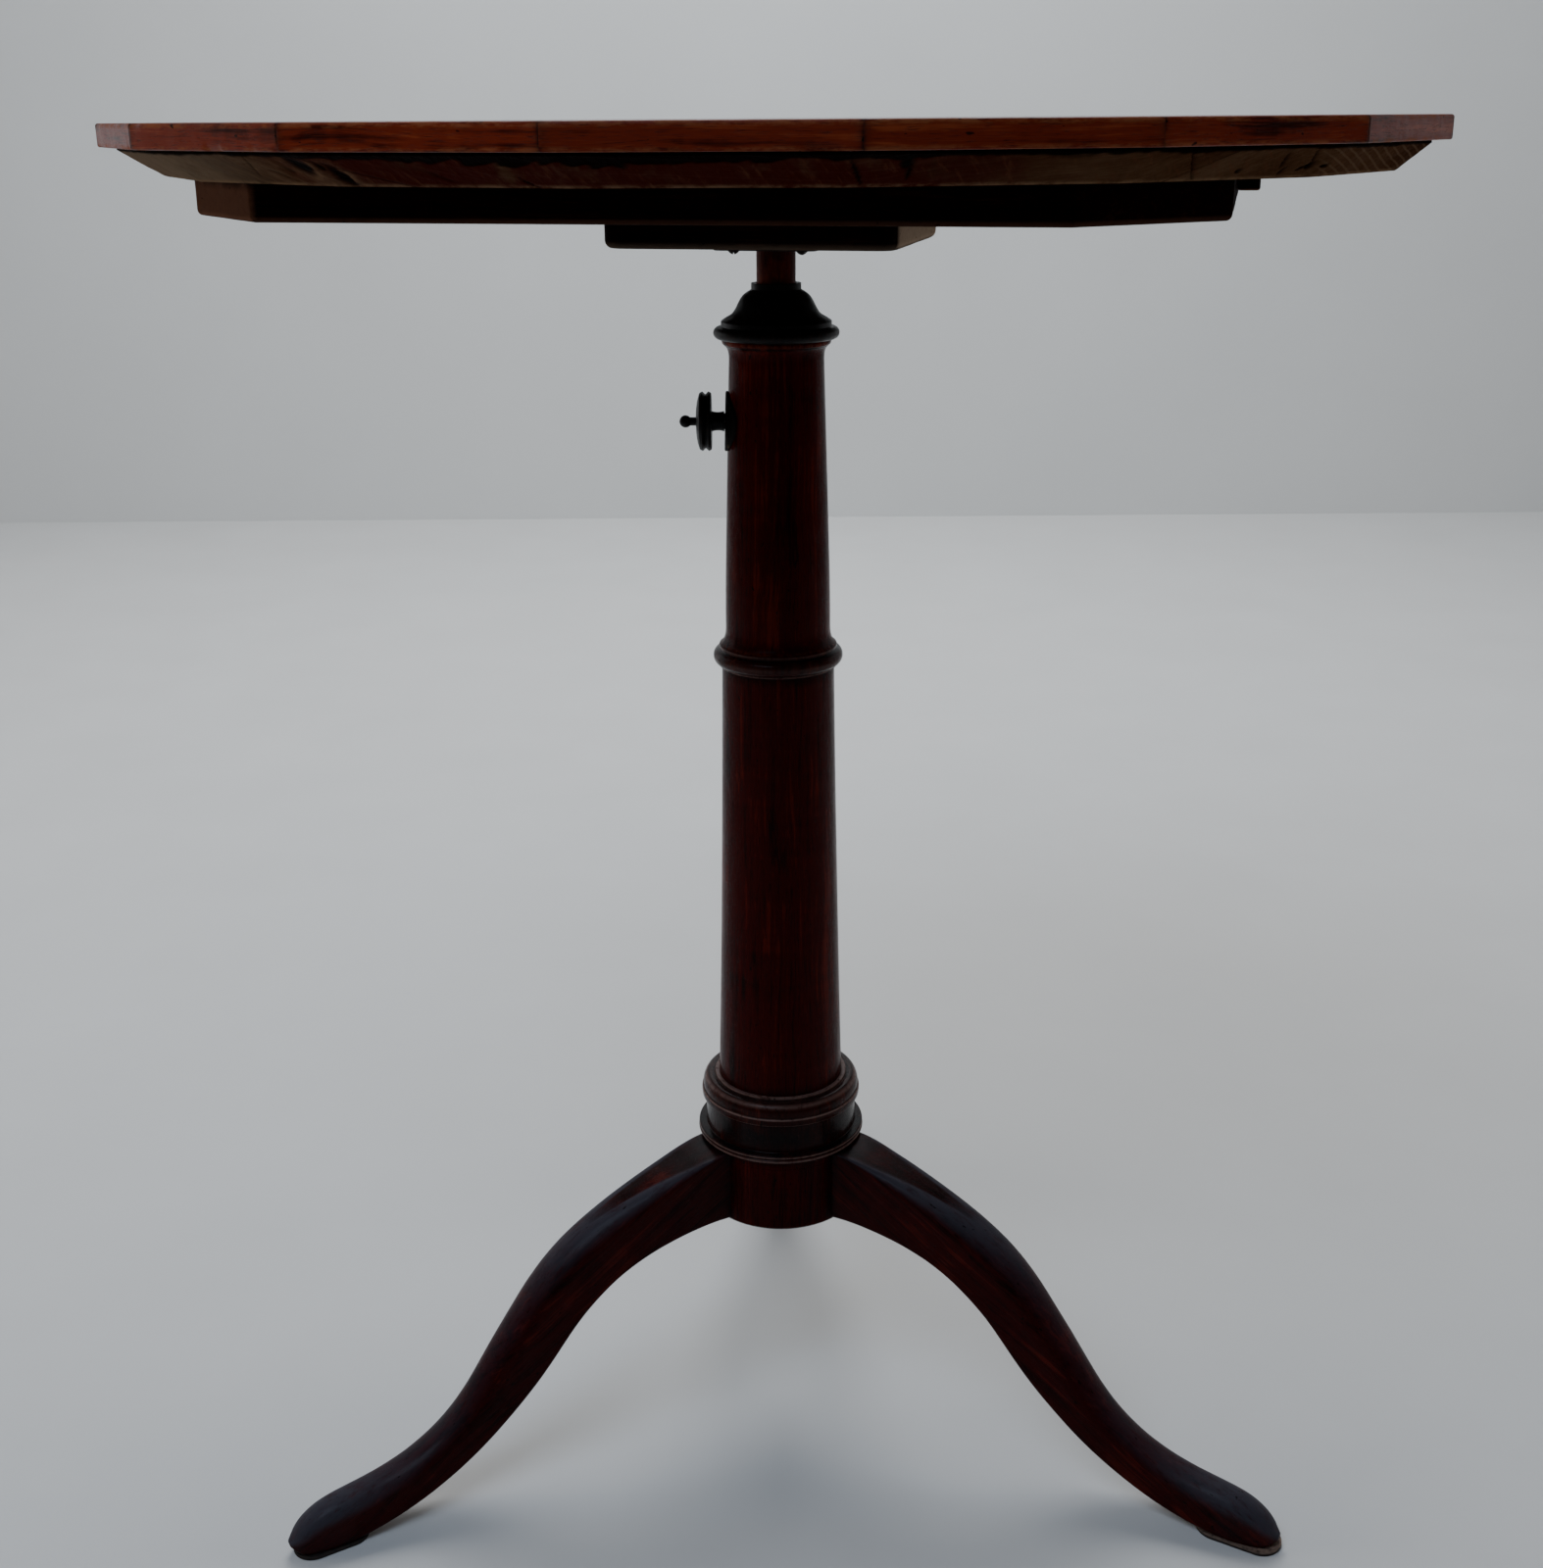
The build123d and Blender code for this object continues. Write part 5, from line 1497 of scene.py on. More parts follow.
@dataclass
class Turning:
    """A turned piece: its profile, its lighter bands of wear and painted highlight and its darker bands of
    dirt and painted shade.

    Attributes:
        node: The node that it stands for, and the start of the piece's name.
        profile: Radius and height, counter-clockwise, closed or from axis to axis.
        finish: Its finish.
        kind: The end of the piece's name.
        body: The body that carries it.
        slot: The record's material slot; not used.
        rubbed_and_highlit: Heights, spreads and strengths of lighter bands, of wear and painted highlight.
        dirt_and_shade_bands: Heights, spreads and strengths of darker bands, of dirt and painted shade.
        facing: Which way its axis points.
        axis_height: Height of a level axis.
        out_of_round: How far the surface wanders, in millimetres.
        arris: Reach of the rounding at its corners.
        segments: How many steps go round it.
        true_bore: Radius within which nothing wanders, so what slides there stays clear.
        pocket: Height, radius and depth of the hollow in the bore's -X side.
    """

    node: str
    profile: Array
    finish: Finish
    kind: str = "turning"
    body: Body = Body.COLUMN
    slot: str = "column_wood"
    rubbed_and_highlit: tuple[Band, ...] = ()
    dirt_and_shade_bands: tuple[Band, ...] = ()
    facing: Facing = Facing.UP
    axis_height: float = 0.0
    out_of_round: float = 0.06
    arris: float = 0.35
    segments: int = 168
    true_bore: float = 0.0
    pocket: Band = (0.0, 0.0, 0.0)

    @staticmethod
    def banded(along: Array, bands: tuple[Band, ...]) -> Array:
        """Bell curves of the place along the axis added up, one for each band."""
        bells = (power * np.exp(-(((along - at) / spread) ** 2)) for at, spread, power in bands)
        return sum(bells, np.zeros(len(along)))

    def build(self, finishes: Finishes) -> None:
        """Turn the profile and dress it.

        The radius loses a slow wander. In the pocket the bore's radius grows by its
        depth within its radius of the clamp's axis.
        """
        name = f"{self.node}_{self.kind}"
        on_axis = self.profile[0, 0] < 1e-6
        profile = softened(self.profile, self.arris, closed=not on_axis)
        skin = turned(profile, self.facing, self.axis_height, self.segments)
        upright = self.facing is Facing.UP
        x, y, z = skin.points.T
        along, sides = (z, skin.points[:, :2]) if upright else (-x, np.stack([z - self.axis_height, y], -1))
        reach = np.linalg.norm(sides, axis=1)
        dip = self.out_of_round * (0.5 + 0.5 * wander(skin.points * [1, 1, 0.35], 40.0, len(name)))
        shrink = 1 - np.clip(dip, 0, self.out_of_round) / np.maximum(reach, 6.0)
        shrink[reach < self.true_bore] = 1.0
        if upright:
            height, radius, depth = self.pocket
            hollowed = (np.hypot(y, z - height) < radius) & (reach < self.true_bore) & (x < 0)
            shrink[hollowed] += depth / reach[hollowed]
            skin.points[:, :2] *= shrink[:, None]
        skin.grain = np.stack([along + 517.0 * len(self.node), sides[:, 0], sides[:, 1]], -1)
        skin.wear_and_highlight, skin.grime_and_shade = self.banded(along, self.rubbed_and_highlit), self.banded(along, self.dirt_and_shade_bands)
        put_piece(name, skin, self.body, [self.node], finishes.of(self.finish), crease=38)


@dataclass
class Column:
    """The pillar: cap, upper and lower column, ring, moulding, hub and shaft.

    The fields are the bore's radius, the heights at which the pieces begin and end and
    the upper column's radii, all in millimetres.
    """

    bore: float = 13.5
    cap_foot: float = 616.5
    cap_head: float = 643.5
    neck: float = 606.5
    neck_radius: float = 24.0
    swell: float = 530.0
    swell_radius: float = 26.2
    upper_foot: float = 469.0
    joint: float = 459.5
    lower_head: float = 448.0
    moulding_head: float = 208.5
    hub_head: float = 172.8
    hub_foot: float = 128.7
    hub_radius: float = 44.0

    def shaft(self) -> Array:
        """The plain sliding pole: a straight line with a bevelled foot."""
        side = [(9.75, height) for height in (310, 340, 480, 600, 659.9)]
        return np.array([(0, 308), (7.75, 308), *side, (0, 659.9)])

    def cap(self) -> Array:
        """The cap: a half-round ring, a short slope, an ogee spline and a raised lip."""
        foot, head = self.cap_foot, self.cap_head
        inner, lip, outer, rise = 10.2, 12.5, 29.4, 27.0
        shares = (
            (0.583, 0.444), (0.491, 0.515), (0.373, 0.656), (0.308, 0.726), (0.213, 0.796), (0.095, 0.848)
        )
        dome = [(lip + out * (outer - lip), foot + up * rise) for out, up in shares]
        flare = [(27.75, foot + 8.6), (25.3, foot + 10.2)]
        return end_to_end(
            [(inner, foot)],
            arc_through((28.7, foot), (31.6, foot + 2.95), (28.3, foot + 5.9), 18),
            [(27.75, foot + 6.1)],
            curve_through(flare + dome, 38),
            [(lip, head - 3.2), (lip, head - 0.05), (inner, head - 0.05)],
        )

    def upper(self) -> Array:
        """The upper column: flare, swell, straight taper, flared neck and its bead."""
        neck, swell = (self.neck_radius, self.neck), (self.swell_radius, self.swell)
        barrel = np.array(neck) - swell
        return end_to_end(
            [(self.bore, z) for z in np.linspace(583.0, 568.0, 25)],
            [(self.bore, 418.5), (20, 418.5), (20, self.joint)],
            eased((31.0, self.joint), (27.5, self.upper_foot), (-1, 0.5), (0, 1), 16),
            eased((27.5, self.upper_foot), swell, (0, 1), barrel, 14)[1:],
            np.linspace(swell, neck, 12)[1:],
            eased(neck, (26.2, 613.2), (0, 1), (0.9, 0.55), 12)[1:],
            arc_through((26.3, 613.5), (27.45, 615.0), (27.0, self.cap_foot - 0.03), 9),
            [(self.bore, self.cap_foot - 0.03)],
        )

    def ring(self) -> Array:
        """The ring over the joint: a half-round between two fillets."""
        foot, head, sleeve, fillet = self.lower_head, self.joint, 20.05, 31.0
        return end_to_end(
            [(sleeve, foot), (fillet, foot)],
            arc_through((fillet, foot + 0.9), (34.2, 453.3), (fillet, head - 1.8), 22),
            [(fillet, head - 0.04), (sleeve, head - 0.04)],
        )

    def lower(self) -> Array:
        """The lower column: one slow arc from foot to head round its bore."""
        head, sleeve = self.lower_head - 0.04, 20.05
        return end_to_end(
            [(0, 224.85), (16.05, 224.85), (16.05, 172.85), (34.8, 172.85)],
            arc_through((34.8, self.moulding_head), (31.8, 328.25), (29.7, head), 40),
            [(sleeve, head), (sleeve, 418.45), (self.bore, 418.45), (self.bore, 285), (0, 285)],
        )

    def moulding(self) -> Array:
        """The foot's moulding: double bead, straight drum, sharp lip, roll and fillet."""
        top, foot = self.moulding_head, self.hub_head
        roll = [(43.95, 199.7), (44.1, 201.8), (43.6, 204.2), (42.3, 206.3), (40.4, 207.35), (38.5, 207.25)]
        return end_to_end(
            [(34.85, foot)],
            arc_through((46.3, foot), (47.15, foot + 1.2), (46.3, foot + 2.4), 9),
            arc_through((46.2, foot + 2.55), (46.95, foot + 3.5), (46.1, foot + 4.45), 9),
            [(42.9, foot + 4.6)],
            curve_through([(42.6, 177.8), (42.4, 186.0), (42.5, 194.9)], 14),
            [(44.5, 195.05)],
            curve_through([(44.75, 195.3), (44.9, 197.0), (44.85, 198.7)], 8),
            [(44.6, 199.1), (44.1, 199.35)],
            curve_through(roll, 30),
            [(37.7, 207.0), (37.3, 207.2), (37.1, top), (34.85, top)],
        )

    def hub_outline(self, radius: float, gap: float = 0.08) -> Array:
        """The hub's outline seen from above, with a dovetail socket for each leg.

        Between two sockets the outline is the circle; at a socket it steps in along the
        neck's line to the wider back and out again.

        Args:
            radius: The circle's radius.
            gap: Clearance round each tongue.

        Returns:
            The counter-clockwise outline.
        """
        neck, back, depth = 6.5 + gap, 9.5 + gap, self.hub_radius - 16.0 - gap
        lip = np.degrees(np.arcsin(neck / radius))
        turn = np.radians(np.linspace(lip, 120 - lip, 44))
        arc = radius * np.stack([np.cos(turn), np.sin(turn)], -1)
        share = np.linspace(0, 1, 5)[1:, None]
        socket = np.array([(depth, -back), (depth, back), (np.sqrt(radius**2 - neck**2), neck)])
        stops = np.vstack([arc[-1:], turned_level(socket, 120.0)])
        walls = [start + (end - start) * share for start, end in zip(stops, stops[1:])]
        third = np.concatenate([arc, *walls])[:-1]
        return np.concatenate([turned_level(third, 90.0 + 120.0 * number) for number in range(3)])

    def build_hub(self, finishes: Finishes) -> None:
        """Make the hub: the notched outline below, a plain disc above and its tenon."""
        levels = [(self.hub_foot, 42.7), (self.hub_foot + 0.45, 43.3), (self.hub_foot + 1.5, 43.98)]
        levels += [(z, 43.99) for z in np.linspace(self.hub_foot + 4, 167.3, 12)]
        rings = np.stack([lifted(self.hub_outline(radius), z) for z, radius in levels])
        head, tenon = self.hub_head - 0.03, 224.8
        disc = np.array(
            [(0, 167.32), (43.99, 167.32), (43.99, 169), (43.99, head), (16, head), (16, tenon), (0, tenon)]
        )
        skin = Skin.joined([ring_stack(rings), turned(softened(disc, 0.3, closed=False), Facing.UP)])
        x, y, z = skin.points.T
        skin.grain = np.stack([z + 900, x, y], -1)
        # Painted shade beside each leg's socket and where the moulding sits on the hub
        beside = np.abs((np.degrees(np.arctan2(y, x)) - 90 + 60) % 120 - 60)
        shade_beside_legs = 0.95 * np.exp(-(((beside - 21.0) / 3.2) ** 2))
        skin.grime_and_shade = shade_beside_legs + 0.8 * np.exp(-(((z - self.hub_head) / 1.6) ** 2))
        skin.wear_and_highlight = 0.8 * np.exp(-(((z - self.hub_foot - 0.7) / 0.8) ** 2))
        wood = finishes.of(COLUMN_MAHOGANY)
        put_piece("hub_body", skin, Body.COLUMN, ["hub"], wood, crease=30)

    def build(self, finishes: Finishes) -> None:
        """Make every turned piece of the pillar."""
        pieces = (
            Turning(
                "shaft", self.shaft(), SHAFT_WOOD, "pole", Body.SHAFT, "shaft_wood",
                rubbed_and_highlit=((650, 40, 0.4),), dirt_and_shade_bands=((660, 1.5, 0.9), (600, 30, 0.2)), arris=0.6, segments=96,
            ),
            # Darker bands: painted shade in the groove over the cap's ring and round its raised lip
            Turning(
                "column_cap", self.cap(), EBONISED, slot="black_wood", arris=0.3,
                rubbed_and_highlit=((619.5, 2.0, 0.8), (640.4, 1.0, 0.7)), dirt_and_shade_bands=((623.2, 0.7, 1.0), (641.6, 1.2, 0.5)),
            ),
            # Lighter bands: painted highlights on the bead under the cap and the flare's foot; darker
            # bands: painted shade under the bead and above the ring
            Turning(
                "upper_column", self.upper(), COLUMN_MAHOGANY, segments=192, true_bore=14.0,
                rubbed_and_highlit=((615.0, 1.0, 1.0), (460.4, 0.7, 0.8)), dirt_and_shade_bands=((613.3, 0.6, 0.9), (462.5, 2.4, 0.5)),
                pocket=(575.5, 6.2, 2.0),
            ),
            # Lighter bands: painted highlights on the half-round and its fillets; darker bands: painted
            # shade in the creases beside the half-round
            Turning(
                "mid_ring", self.ring(), MOULDING_MAHOGANY, arris=0.25,
                rubbed_and_highlit=((453.0, 1.6, 0.12), (448.5, 0.5, 0.35), (458.9, 0.6, 0.35)),
                dirt_and_shade_bands=((457.4, 0.5, 1.0), (449.2, 0.4, 0.8)),
            ),
            # Darker bands: painted shade just under the ring and just above the moulding
            Turning(
                "lower_column", self.lower(), COLUMN_MAHOGANY, segments=192, true_bore=14.0,
                dirt_and_shade_bands=((447.5, 2.2, 0.9), (209.5, 1.6, 1.0)), out_of_round=0.1,
            ),
            # Lighter bands: painted highlights on the lip, the roll's shoulder, the beads and the top
            # fillet; darker bands: painted shade over the whole drum, by the lip, between the beads and at
            # the fillet
            Turning(
                "base_moulding", self.moulding(), MOULDING_MAHOGANY, segments=192, arris=0.12,
                rubbed_and_highlit=((198.95, 0.4, 1.0), (195.2, 0.2, 0.7), (205.9, 1.0, 0.45), (176.3, 0.5, 0.8),
                        (174.0, 0.6, 0.8), (208.2, 0.5, 1.0)),
                dirt_and_shade_bands=((199.5, 0.25, 0.8), (186.0, 8.6, 0.95), (175.3, 0.12, 1.0), (177.4, 0.3, 1.0),
                       (207.2, 0.2, 0.8)),
            ),
        )
        for piece in pieces:
            piece.build(finishes)
        self.build_hub(finishes)


# ---- the legs


@dataclass
class Leg:
    """One curved leg with its dovetail tongue and its leather pad.

    Attributes:
        side: The leg's name.
        angle: Where it points, in degrees.
        reach: How far its toe stands from the axis.
        rise: Height of its top at the hub.
        width: Its greatest width.
        pad: Thickness of the leather under it.
        lipped: Whether the leather's front edge curls up.
        shares: Along the leg: reach and height of the ridge, then of the sole, as
            shares of the leg's; width as a share; rounding of the ridge as a share of
            the width; and how far the ridge falls off to its sides.
    """

    side: str
    angle: float
    reach: float = 304.0
    rise: float = 172.3
    width: float = 29.5
    pad: float = 2.0
    lipped: bool = False
    shares: tuple[tuple[float, ...], ...] = (
        (0.118, 1.000, 0.118, 0.750, 1.000, 0.03, 0.00),
        (0.165, 0.992, 0.165, 0.752, 1.000, 0.05, 0.00),
        (0.220, 0.970, 0.211, 0.745, 0.995, 0.13, 0.01),
        (0.285, 0.937, 0.263, 0.729, 0.985, 0.24, 0.02),
        (0.353, 0.893, 0.319, 0.699, 0.973, 0.34, 0.02),
        (0.418, 0.839, 0.368, 0.657, 0.959, 0.42, 0.01),
        (0.475, 0.772, 0.414, 0.599, 0.942, 0.46, 0.00),
        (0.524, 0.688, 0.453, 0.535, 0.925, 0.47, 0.00),
        (0.564, 0.598, 0.484, 0.470, 0.905, 0.47, 0.00),
        (0.616, 0.473, 0.533, 0.368, 0.880, 0.47, 0.00),
        (0.664, 0.359, 0.586, 0.278, 0.855, 0.47, 0.00),
        (0.714, 0.275, 0.646, 0.193, 0.830, 0.47, 0.00),
        (0.772, 0.216, 0.721, 0.112, 0.800, 0.47, 0.00),
        (0.834, 0.182, 0.798, 0.052, 0.770, 0.47, 0.00),
        (0.889, 0.165, 0.865, 0.019, 0.735, 0.47, 0.00),
        (0.933, 0.149, 0.921, 0.006, 0.690, 0.47, 0.00),
        (0.967, 0.119, 0.964, 0.006, 0.590, 0.47, 0.00),
        (0.987, 0.084, 0.987, 0.020, 0.430, 0.47, 0.00),
        (0.997, 0.055, 0.997, 0.038, 0.240, 0.40, 0.00),
    )

    def sections(self, count: int) -> Array:
        """Sections of the leg, each a rounded rectangle between sole and ridge.

        The station table is run through a cubic spline. Each section's corners are
        quarter circles of the sole's and the ridge's rounding, and its top falls off
        from the middle in proportion to the distance across.

        Args:
            count: How many sections.

        Returns:
            Points, shape (count, n, 3), for a leg along +x.
        """
        table = np.array(self.shares)
        middle = (table[:, :2] + table[:, 2:4]) / 2 * [self.reach, self.rise]
        knots = np.concatenate([[0.0], np.cumsum(np.linalg.norm(np.diff(middle, axis=0), axis=1))])
        rows = smooth_through(knots, table, np.linspace(0, knots[-1], count))
        ridge = rows[:, :2] * [self.reach, self.rise]
        sole = rows[:, 2:4] * [self.reach, self.rise]
        width = rows[:, 4] * self.width
        depth = np.linalg.norm(ridge - sole, axis=1)
        upward = (ridge - sole) / depth[:, None]
        top = np.minimum(rows[:, 5] * width, 0.8 * depth)
        foot = np.minimum(np.minimum(2.5, 0.15 * depth), 0.2 * width)
        quarter = np.radians(np.linspace(0, 90, 11))
        ease = np.linspace(0, 1, 9)[1:-1]

        def corner(side: int, bend: Array, centre_up: Array, start: float) -> Array:
            """A quarter circle of the section: across and up, for every section at once."""
            turn = quarter + np.radians(start)
            across = side * (width / 2 - bend)[:, None] + bend[:, None] * np.cos(turn)
            return np.stack([across, centre_up[:, None] + bend[:, None] * np.sin(turn)])

        bends = [
            corner(1, foot, foot, 270), corner(1, top, depth - top, 0),
            corner(-1, top, depth - top, 90), corner(-1, foot, foot, 180),
        ]
        runs = []
        for here, there in zip(bends, bends[1:] + bends[:1]):
            runs += [here, here[..., -1:] + (there[..., :1] - here[..., -1:]) * ease]
        across, up = np.concatenate(runs, 2)
        up = up - rows[:, 6:7] * np.abs(across) * 2 * (up > depth[:, None] * 0.5)
        spots = sole[:, None] + upward[:, None] * up[..., None]
        return np.stack([spots[..., 0], across, spots[..., 1]], -1)

    def blade(self) -> Skin:
        """The leg's visible wood, from the hub's face to its rounded toe.

        The first section follows the hub's round face, and three smaller ones close the
        toe. Each section draws in by a slow wander. What faces up gets a bluish-grey
        colour, dusty bloom with a painted sky sheen, most of all at the toe and round the
        middle; the ridge near the hub, the end at the hub and the foot just above the
        floor get painted shade instead.

        Returns:
            The blade's skin, for a leg along +x.
        """
        rings = self.sections(190)
        rings = rings[rings[:, :, 0].min(1) > 44.6]
        first = rings[0].copy()
        first[:, 0] = np.sqrt(44.06**2 - np.minimum(first[:, 1] ** 2, 900))
        slope = (rings[0, :, 2] - rings[1, :, 2]) / np.maximum(rings[1, :, 0] - rings[0, :, 0], 0.2)
        first[:, 2] = rings[0, :, 2] + slope * (rings[0, :, 0] - first[:, 0])
        last = rings[-1]
        centre = last.mean(0)
        shrinks = np.array([0.86, 0.6, 0.3])[:, None, None]
        steps = np.array([0.35, 0.62, 0.72])[:, None, None] * [1.0, 0.0, 0.0]
        rings = np.concatenate([first[None], rings, centre + (last - centre) * shrinks + steps])

        seed = 21 + len(self.side)
        dents = wanders(rings, (0.10, 90.0, seed), (0.02, 12.0, seed + 1)) - 0.10
        heart = rings.mean(1, keepdims=True)
        away = rings - heart
        length = np.linalg.norm(away, axis=2, keepdims=True)
        rings = heart + away * (1 + np.minimum(dents, 0)[..., None] / np.maximum(length, 4.0))
        rings[..., 2] = np.maximum(rings[..., 2], self.pad + 0.02)
        skin = ring_stack(rings)

        x, y, z = skin.points.T
        turn = np.radians(33.0)
        along, through = x * np.cos(turn) - z * np.sin(turn), x * np.sin(turn) + z * np.cos(turn)
        skin.grain = np.stack([along + 800 * len(self.side), y, through], -1)

        round_way = np.roll(rings, -1, axis=1) - np.roll(rings, 1, axis=1)
        facing = np.cross(round_way, np.gradient(rings, axis=0))
        facing = facing / np.maximum(np.linalg.norm(facing, axis=2, keepdims=True), 1e-9)
        upward = facing[..., 2] * np.sign((facing * (rings - heart)).sum())
        reach = rings[..., 0]
        # Upward faces get a painted bluish sky sheen, stronger at the toe and round the middle
        toe = np.clip((reach - 225) / 50, 0, 1)
        lift = np.clip((upward - 0.30 + 0.35 * toe) / 0.45, 0, 1)
        # The flat ridge near the hub gets painted shade instead of sheen
        crest = np.zeros(rings.shape[1])
        crest[29:36] = 1.0
        shaded_ridge = crest * np.clip((126 - reach) / 24, 0, 1)
        middle = 0.55 + 0.45 * np.cos(np.clip((reach - 95) / 110, -1, 1) * np.pi)
        rubbed_and_highlit = 0.35 + 0.65 * np.maximum(middle * (reach > 52), toe)
        skin.wear_and_highlight = np.clip(lift * (1 - shaded_ridge) * rubbed_and_highlit, 0, 1).ravel()
        # Painted shade where the leg meets the hub and just above the floor
        at_hub = 0.95 * np.exp(-((np.hypot(x, y) - 44) / 2.6))
        at_floor = 0.5 * np.exp(-((z - 2) / 2.2))
        skin.grime_and_shade = np.clip(at_hub + at_floor + 0.72 * shaded_ridge.ravel(), 0, 1)
        return skin

    def tongue(self) -> Skin:
        """The dovetail that holds the leg in the hub: a straight prism."""
        plan = np.array([(43.9, -6.5), (43.9, 6.5), (28.0, 9.5), (28.0, -9.5)], float)
        skin = slab(softened(plan, 0.3), 131.8, 167.2, 0.2, 0.2, 1)
        skin.grain = skin.points + [800.0 * len(self.side), 0, 0]
        return skin

    def build(self, finishes: Finishes) -> None:
        """Make the leg and its pad, turned to the leg's angle."""
        skin = Skin.joined([self.blade(), self.tongue()])
        skin.points = turned_level(skin.points, self.angle)
        wood = finishes.of(LEG_MAHOGANY)
        name = f"leg_{self.side}"
        put_piece(f"{name}_blade", skin, Body.COLUMN, [name], wood, crease=34)
        ends = np.radians(np.linspace(-90, 90, 25))
        half, bend, centre = (11.6, 11.4, 281.9) if self.lipped else (9.5, 11.0, 281.0)
        front = np.stack([half + bend * np.cos(ends), bend * np.sin(ends)], -1)
        outline = np.concatenate([front, -front]) + [centre, 0]
        sole = slab(resampled(outline, 2.0), 0.0, self.pad, 0.5, 0.6, 1)
        x, _, z = sole.points.T
        if self.lipped:
            sole.points[:, 2] += 1.3 * np.clip((x - 296.0) / 8.0, 0, 1) * np.clip(z - 0.6, 0, 1)
        sole.wear_and_highlight = self.lipped * np.clip(z - 1.2, 0, 1)
        sole.points = turned_level(sole.points, self.angle)
        name, leather = f"foot_pad_{self.side}", finishes.of(PAD_LEATHER)
        put_piece(f"{name}_sole", sole, Body.COLUMN, [name], leather)


# ---- the clamp


@dataclass
class Clamp:
    """The bent escutcheon and the turned knob of the height clamp."""

    height: float = 575.5
    plate_radius: float = 15.0
    plate_hole: float = 4.3
    thickness: float = 1.3
    stem: float = 26.602

    def escutcheon(self) -> Skin:
        """A flat ring bent round the column.

        Rings of the disc run from the hole out over the front, round the rim and back
        behind. A point at y and z lies at minus the root of the column's radius there,
        plus the ring's own lift, squared, less y squared.

        Returns:
            The closed skin.
        """
        lift = self.thickness
        front = [(spread, lift) for spread in (self.plate_hole, 5.6, 8.0, 10.5, 13.0, 14.3)]
        rim = [(14.8, lift * 0.86), (self.plate_radius, lift * 0.6), (self.plate_radius, 0.1)]
        out = np.array([*front, *rim, (10.0, 0.08), (self.plate_hole, 0.08)])
        turn = np.linspace(0, 2 * np.pi, 120, endpoint=False)
        y = out[:, :1] * np.cos(turn)
        z = out[:, :1] * np.sin(turn)
        drop = (Column.neck - self.height - z) / (Column.neck - Column.swell)
        column = Column.neck_radius + drop * (Column.swell_radius - Column.neck_radius)
        radius = column + 0.1 + out[:, 1:]
        x = -np.sqrt(radius**2 - y**2)
        points = np.stack([x, y, z + self.height], -1)
        faces = grid_faces(len(out), len(turn), loop_rows=True)
        skin = Skin.of(points.reshape(-1, 3), [faces])
        skin.wear_and_highlight = np.repeat(np.clip((out[:, 0] - 13.5) / 1.5, 0, 1) * (out[:, 1] > 0.5), len(turn))
        return skin

    def knob(self) -> Array:
        """The knob's profile: waisted stem, twice-grooved disc, neck and ball."""
        stem, disc, neck, ball_radius = self.stem, 14.9, 2.1, 3.1
        inner = stem + 6.5
        outer = inner + 6.0
        crown = outer + 1.9
        ball = crown + 3.0
        middle = ball + np.sqrt(ball_radius**2 - neck**2)
        rim = disc - 0.75
        return end_to_end(
            [(0, stem + 0.02)],
            arc_through((5.2, stem + 0.02), (4.6, (stem + inner) / 2), (5.2, inner), 12),
            [(rim, inner), (disc, inner + 1.5), (disc - 1.5, inner + 3.0), (disc, inner + 4.5)],
            [(rim, outer)],
            eased((rim, outer), (neck, crown), (-1, 0.4), (-1, 0), 16)[1:],
            [(neck, ball)],
            arc_through((neck, ball), (ball_radius, middle), (0, middle + ball_radius), 18)[1:],
        )

    def build(self, finishes: Finishes) -> None:
        """Make the escutcheon on the column and the knob on its screw."""
        plate, brass = self.escutcheon(), finishes.of(DARK_BRASS)
        put_piece("escutcheon_plate", plate, Body.COLUMN, ["escutcheon"], brass, crease=50)
        Turning(
            "lock_knob", self.knob(), EBONISED, body=Body.LOCK, slot="black_wood",
            rubbed_and_highlit=((34.6, 0.5, 0.9), (37.6, 0.5, 0.9), (45.5, 3.0, 0.6)),
            # Darker bands: painted shade in the disc's groove and where the stem meets the disc
            dirt_and_shade_bands=((36.1, 0.5, 1.0), (33.1, 0.8, 0.6)),
            facing=Facing.LEFT, axis_height=self.height, arris=0.3, segments=120,
        ).build(finishes)


# ---- kept nodes and the stage


@dataclass
class KeptNodes:
    """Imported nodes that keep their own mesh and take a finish."""

    table: tuple[tuple[str, Finish], ...] = (
        ("guide_bush", INNER_WOOD), ("shaft_collar", INNER_WOOD), ("pivot_stud", IRON),
        ("pivot_washer", IRON), ("pivot_nut", IRON), ("collar_pin", IRON), ("lock_nut", DARK_BRASS),
        ("lock_screw", IRON), ("escutcheon_pins", DARK_BRASS), ("clamp_pad", PAD_LEATHER),
    )

    def build(self, finishes: Finishes) -> None:
        """Give each kept node its material."""
        for name, finish in self.table:
            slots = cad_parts[name].data.materials
            slots.clear()
            slots.append(finishes.of(finish))
            LOG.info("%s: packed node, %s", name, finish.name)


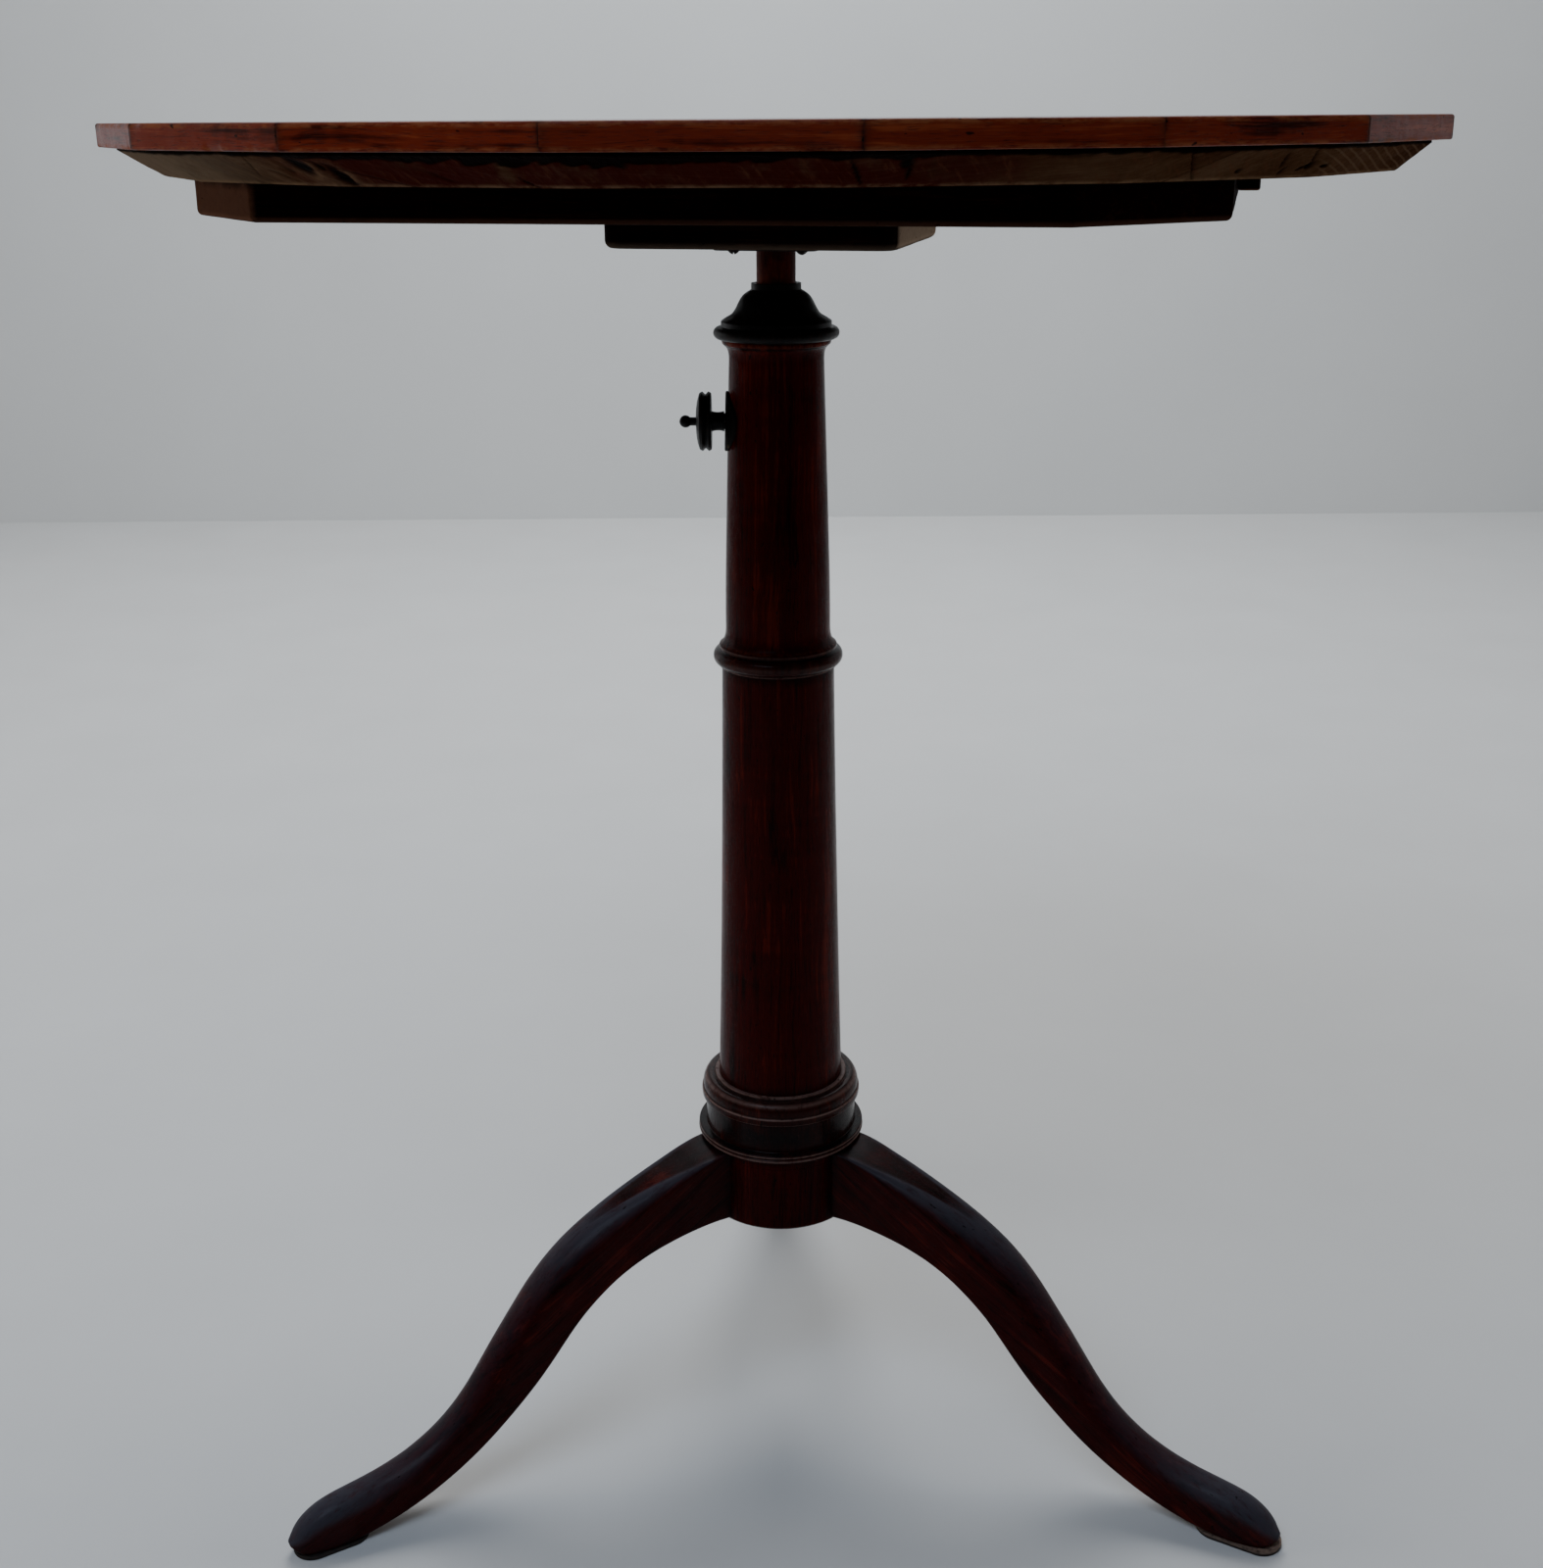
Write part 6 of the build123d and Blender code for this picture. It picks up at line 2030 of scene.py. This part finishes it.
@dataclass(frozen=True)
class SoftLight:
    """A square soft light that looks at a point. Its size is in metres, its power in watts,
    and glossy surfaces show it where it is mirrored.
    """

    name: str
    place: Place
    aim: Place
    size: float
    power: float
    colour: Colour
    mirrored: bool = True

    def build(self) -> None:
        """Hang the light."""
        data = bpy.data.lights.new(self.name, "AREA")
        data.shape = "SQUARE"
        data.size = self.size
        data.energy = self.power
        data.color = self.colour
        lamp = bpy.data.objects.new(self.name, data)
        lamp.location = self.place
        lamp.visible_glossy = self.mirrored
        x, y, z = np.array(self.aim) - np.array(self.place)
        tilt, heading = np.arctan2(np.hypot(x, y), -z), np.arctan2(y, x) - np.pi / 2
        lamp.rotation_euler = (float(tilt), 0.0, float(heading))
        bpy.context.scene.collection.objects.link(lamp)


@dataclass
class Studio:
    """The pale floor and wall, the soft lights and the camera."""

    camera_place: Place = (-0.0040, -0.962, 0.7207)
    pitch: float = 90 - 19.49
    roll: float = -0.4
    lens: float = 43.27
    lights: tuple[SoftLight, ...] = (
        SoftLight("left_window", (-2.3, 1.5, 0.95), (0, 0, 0.5), 1.7, 7.5, (0.95, 0.97, 1.0)),
        SoftLight("right_window", (2.5, 1.5, 0.95), (0, 0, 0.5), 1.7, 4.4, (0.95, 0.97, 1.0)),
        SoftLight("sky", (0.0, 1.6, 2.4), (0, 1.5, 0.0), 1.6, 60.0, (0.90, 0.95, 1.0)),
        SoftLight("overhead", (-0.8, -1.3, 2.4), (-0.05, -0.15, 0.2), 1.3, 27.0, (0.66, 0.80, 1.0)),
        SoftLight("left_front", (-2.6, -0.14, 0.75), (0, 0, 0.6), 0.9, 16.0, (1.0, 0.95, 0.88), False),
        SoftLight("right_front", (2.6, -0.12, 0.7), (0, 0, 0.5), 0.9, 11.0, (1.0, 0.95, 0.88), False),
    )

    def camera(self) -> None:
        """Put the camera where the photograph was taken."""
        data = bpy.data.cameras.new("camera")
        data.sensor_width = 36.0
        data.lens = self.lens
        camera = bpy.data.objects.new("camera", data)
        bpy.context.scene.collection.objects.link(camera)
        tilt = Euler((np.radians(self.pitch), 0, 0)).to_matrix().to_4x4()
        roll = Matrix.Rotation(np.radians(self.roll), 4, "Z")
        camera.matrix_world = Matrix.Translation(self.camera_place) @ tilt @ roll
        bpy.context.scene.camera = camera

    def pale_sheet(
        self, name: str, finish: str, corners: list[Place], stretch: float,
        tones: tuple[Colour, Colour], rough: tuple[float, float], depth: float, shine: float
    ) -> None:
        """Stand or lay one wide pale sheet with a faint mottle.

        Args:
            name: Its name.
            finish: Its material's name.
            corners: Its four corners.
            stretch: How many blobs of mottle there are in a metre.
            tones: Its darker and its lighter colour.
            rough: Lowest and highest roughness.
            depth: Depth of the mottle in metres.
            shine: Its specular level.
        """
        mesh = bpy.data.meshes.new(name)
        mesh.from_pydata(corners, [], [(0, 1, 2, 3)])
        s = Sheet(finish)
        mottle = s.noise(s.place(), (stretch, stretch, stretch), 4.0)
        pale = s.blended(mottle, *tones)
        dull = s.between(mottle, 0.3, 0.7, *rough)
        mesh.materials.append(s.finish(pale, dull, s.relief(mottle, depth), Specular_IOR_Level=shine))
        sheet = bpy.data.objects.new(name, mesh)
        bpy.context.scene.collection.objects.link(sheet)

    def build(self) -> None:
        """Set up the world's faint light, the lights, the floor and the wall behind the table."""
        world = bpy.data.worlds.new("studio")
        world.use_nodes = True
        background = world.node_tree.nodes["Background"]
        background.inputs[0].default_value = (0.86, 0.88, 0.92, 1.0)
        background.inputs[1].default_value = 0.03
        bpy.context.scene.world = world
        for light in self.lights:
            light.build()
        side, back, top = 9.0, 2.6, 6.0
        floor = [(-side, -side, 0), (side, -side, 0), (side, side, 0), (-side, side, 0)]
        tones = ((0.60, 0.59, 0.575), (0.66, 0.65, 0.635))
        self.pale_sheet("floor", "floor_pale", floor, 7, tones, (0.75, 0.9), 0.0002, 0.2)
        wall = [(-side, back, 0), (side, back, 0), (side, back, top), (-side, back, top)]
        tones = ((0.66, 0.66, 0.65), (0.72, 0.72, 0.71))
        self.pale_sheet("backdrop", "wall_pale", wall, 3, tones, (0.8, 0.95), 0.0004, 0.1)


def table_screws() -> tuple[SlottedScrews, ...]:
    """The three patterns of screws under the top."""
    plate = np.concatenate([grid_seats(370, 130), grid_seats(130, 370)])
    block, pivot = grid_seats(106, 82), grid_seats(34, 34)
    return (
        SlottedScrews("plate_screw_heads", "plate_screws", plate, 682.05, 4.2, 0.0, 2.0),
        SlottedScrews("block_screw_heads", "block_screws", block, 662.55, 5.0, 0.0, 2.5, 65.0),
        SlottedScrews("pivot_screw_heads", "pivot_screws", pivot, 660.05, 3.2, 2.2, 1.6, 10.0),
    )


def main() -> None:
    """Build the camera, the table from top to foot and the studio, in that order."""
    logging.basicConfig(level=logging.INFO, format="%(name)s: %(message)s")
    studio = Studio()
    studio.camera()
    finishes = Finishes()
    parts = (
        EdgeBand(), FieldBoards(), CoreBoard(), UnderFrame(), *table_screws(), Column(),
        Leg("left", 210.0), Leg("right", 330.0, lipped=True), Leg("back", 90.0), Clamp(), KeptNodes(),
    )
    for part in parts:
        part.build(finishes)
    studio.build()


if __name__ == "__main__":
    main()
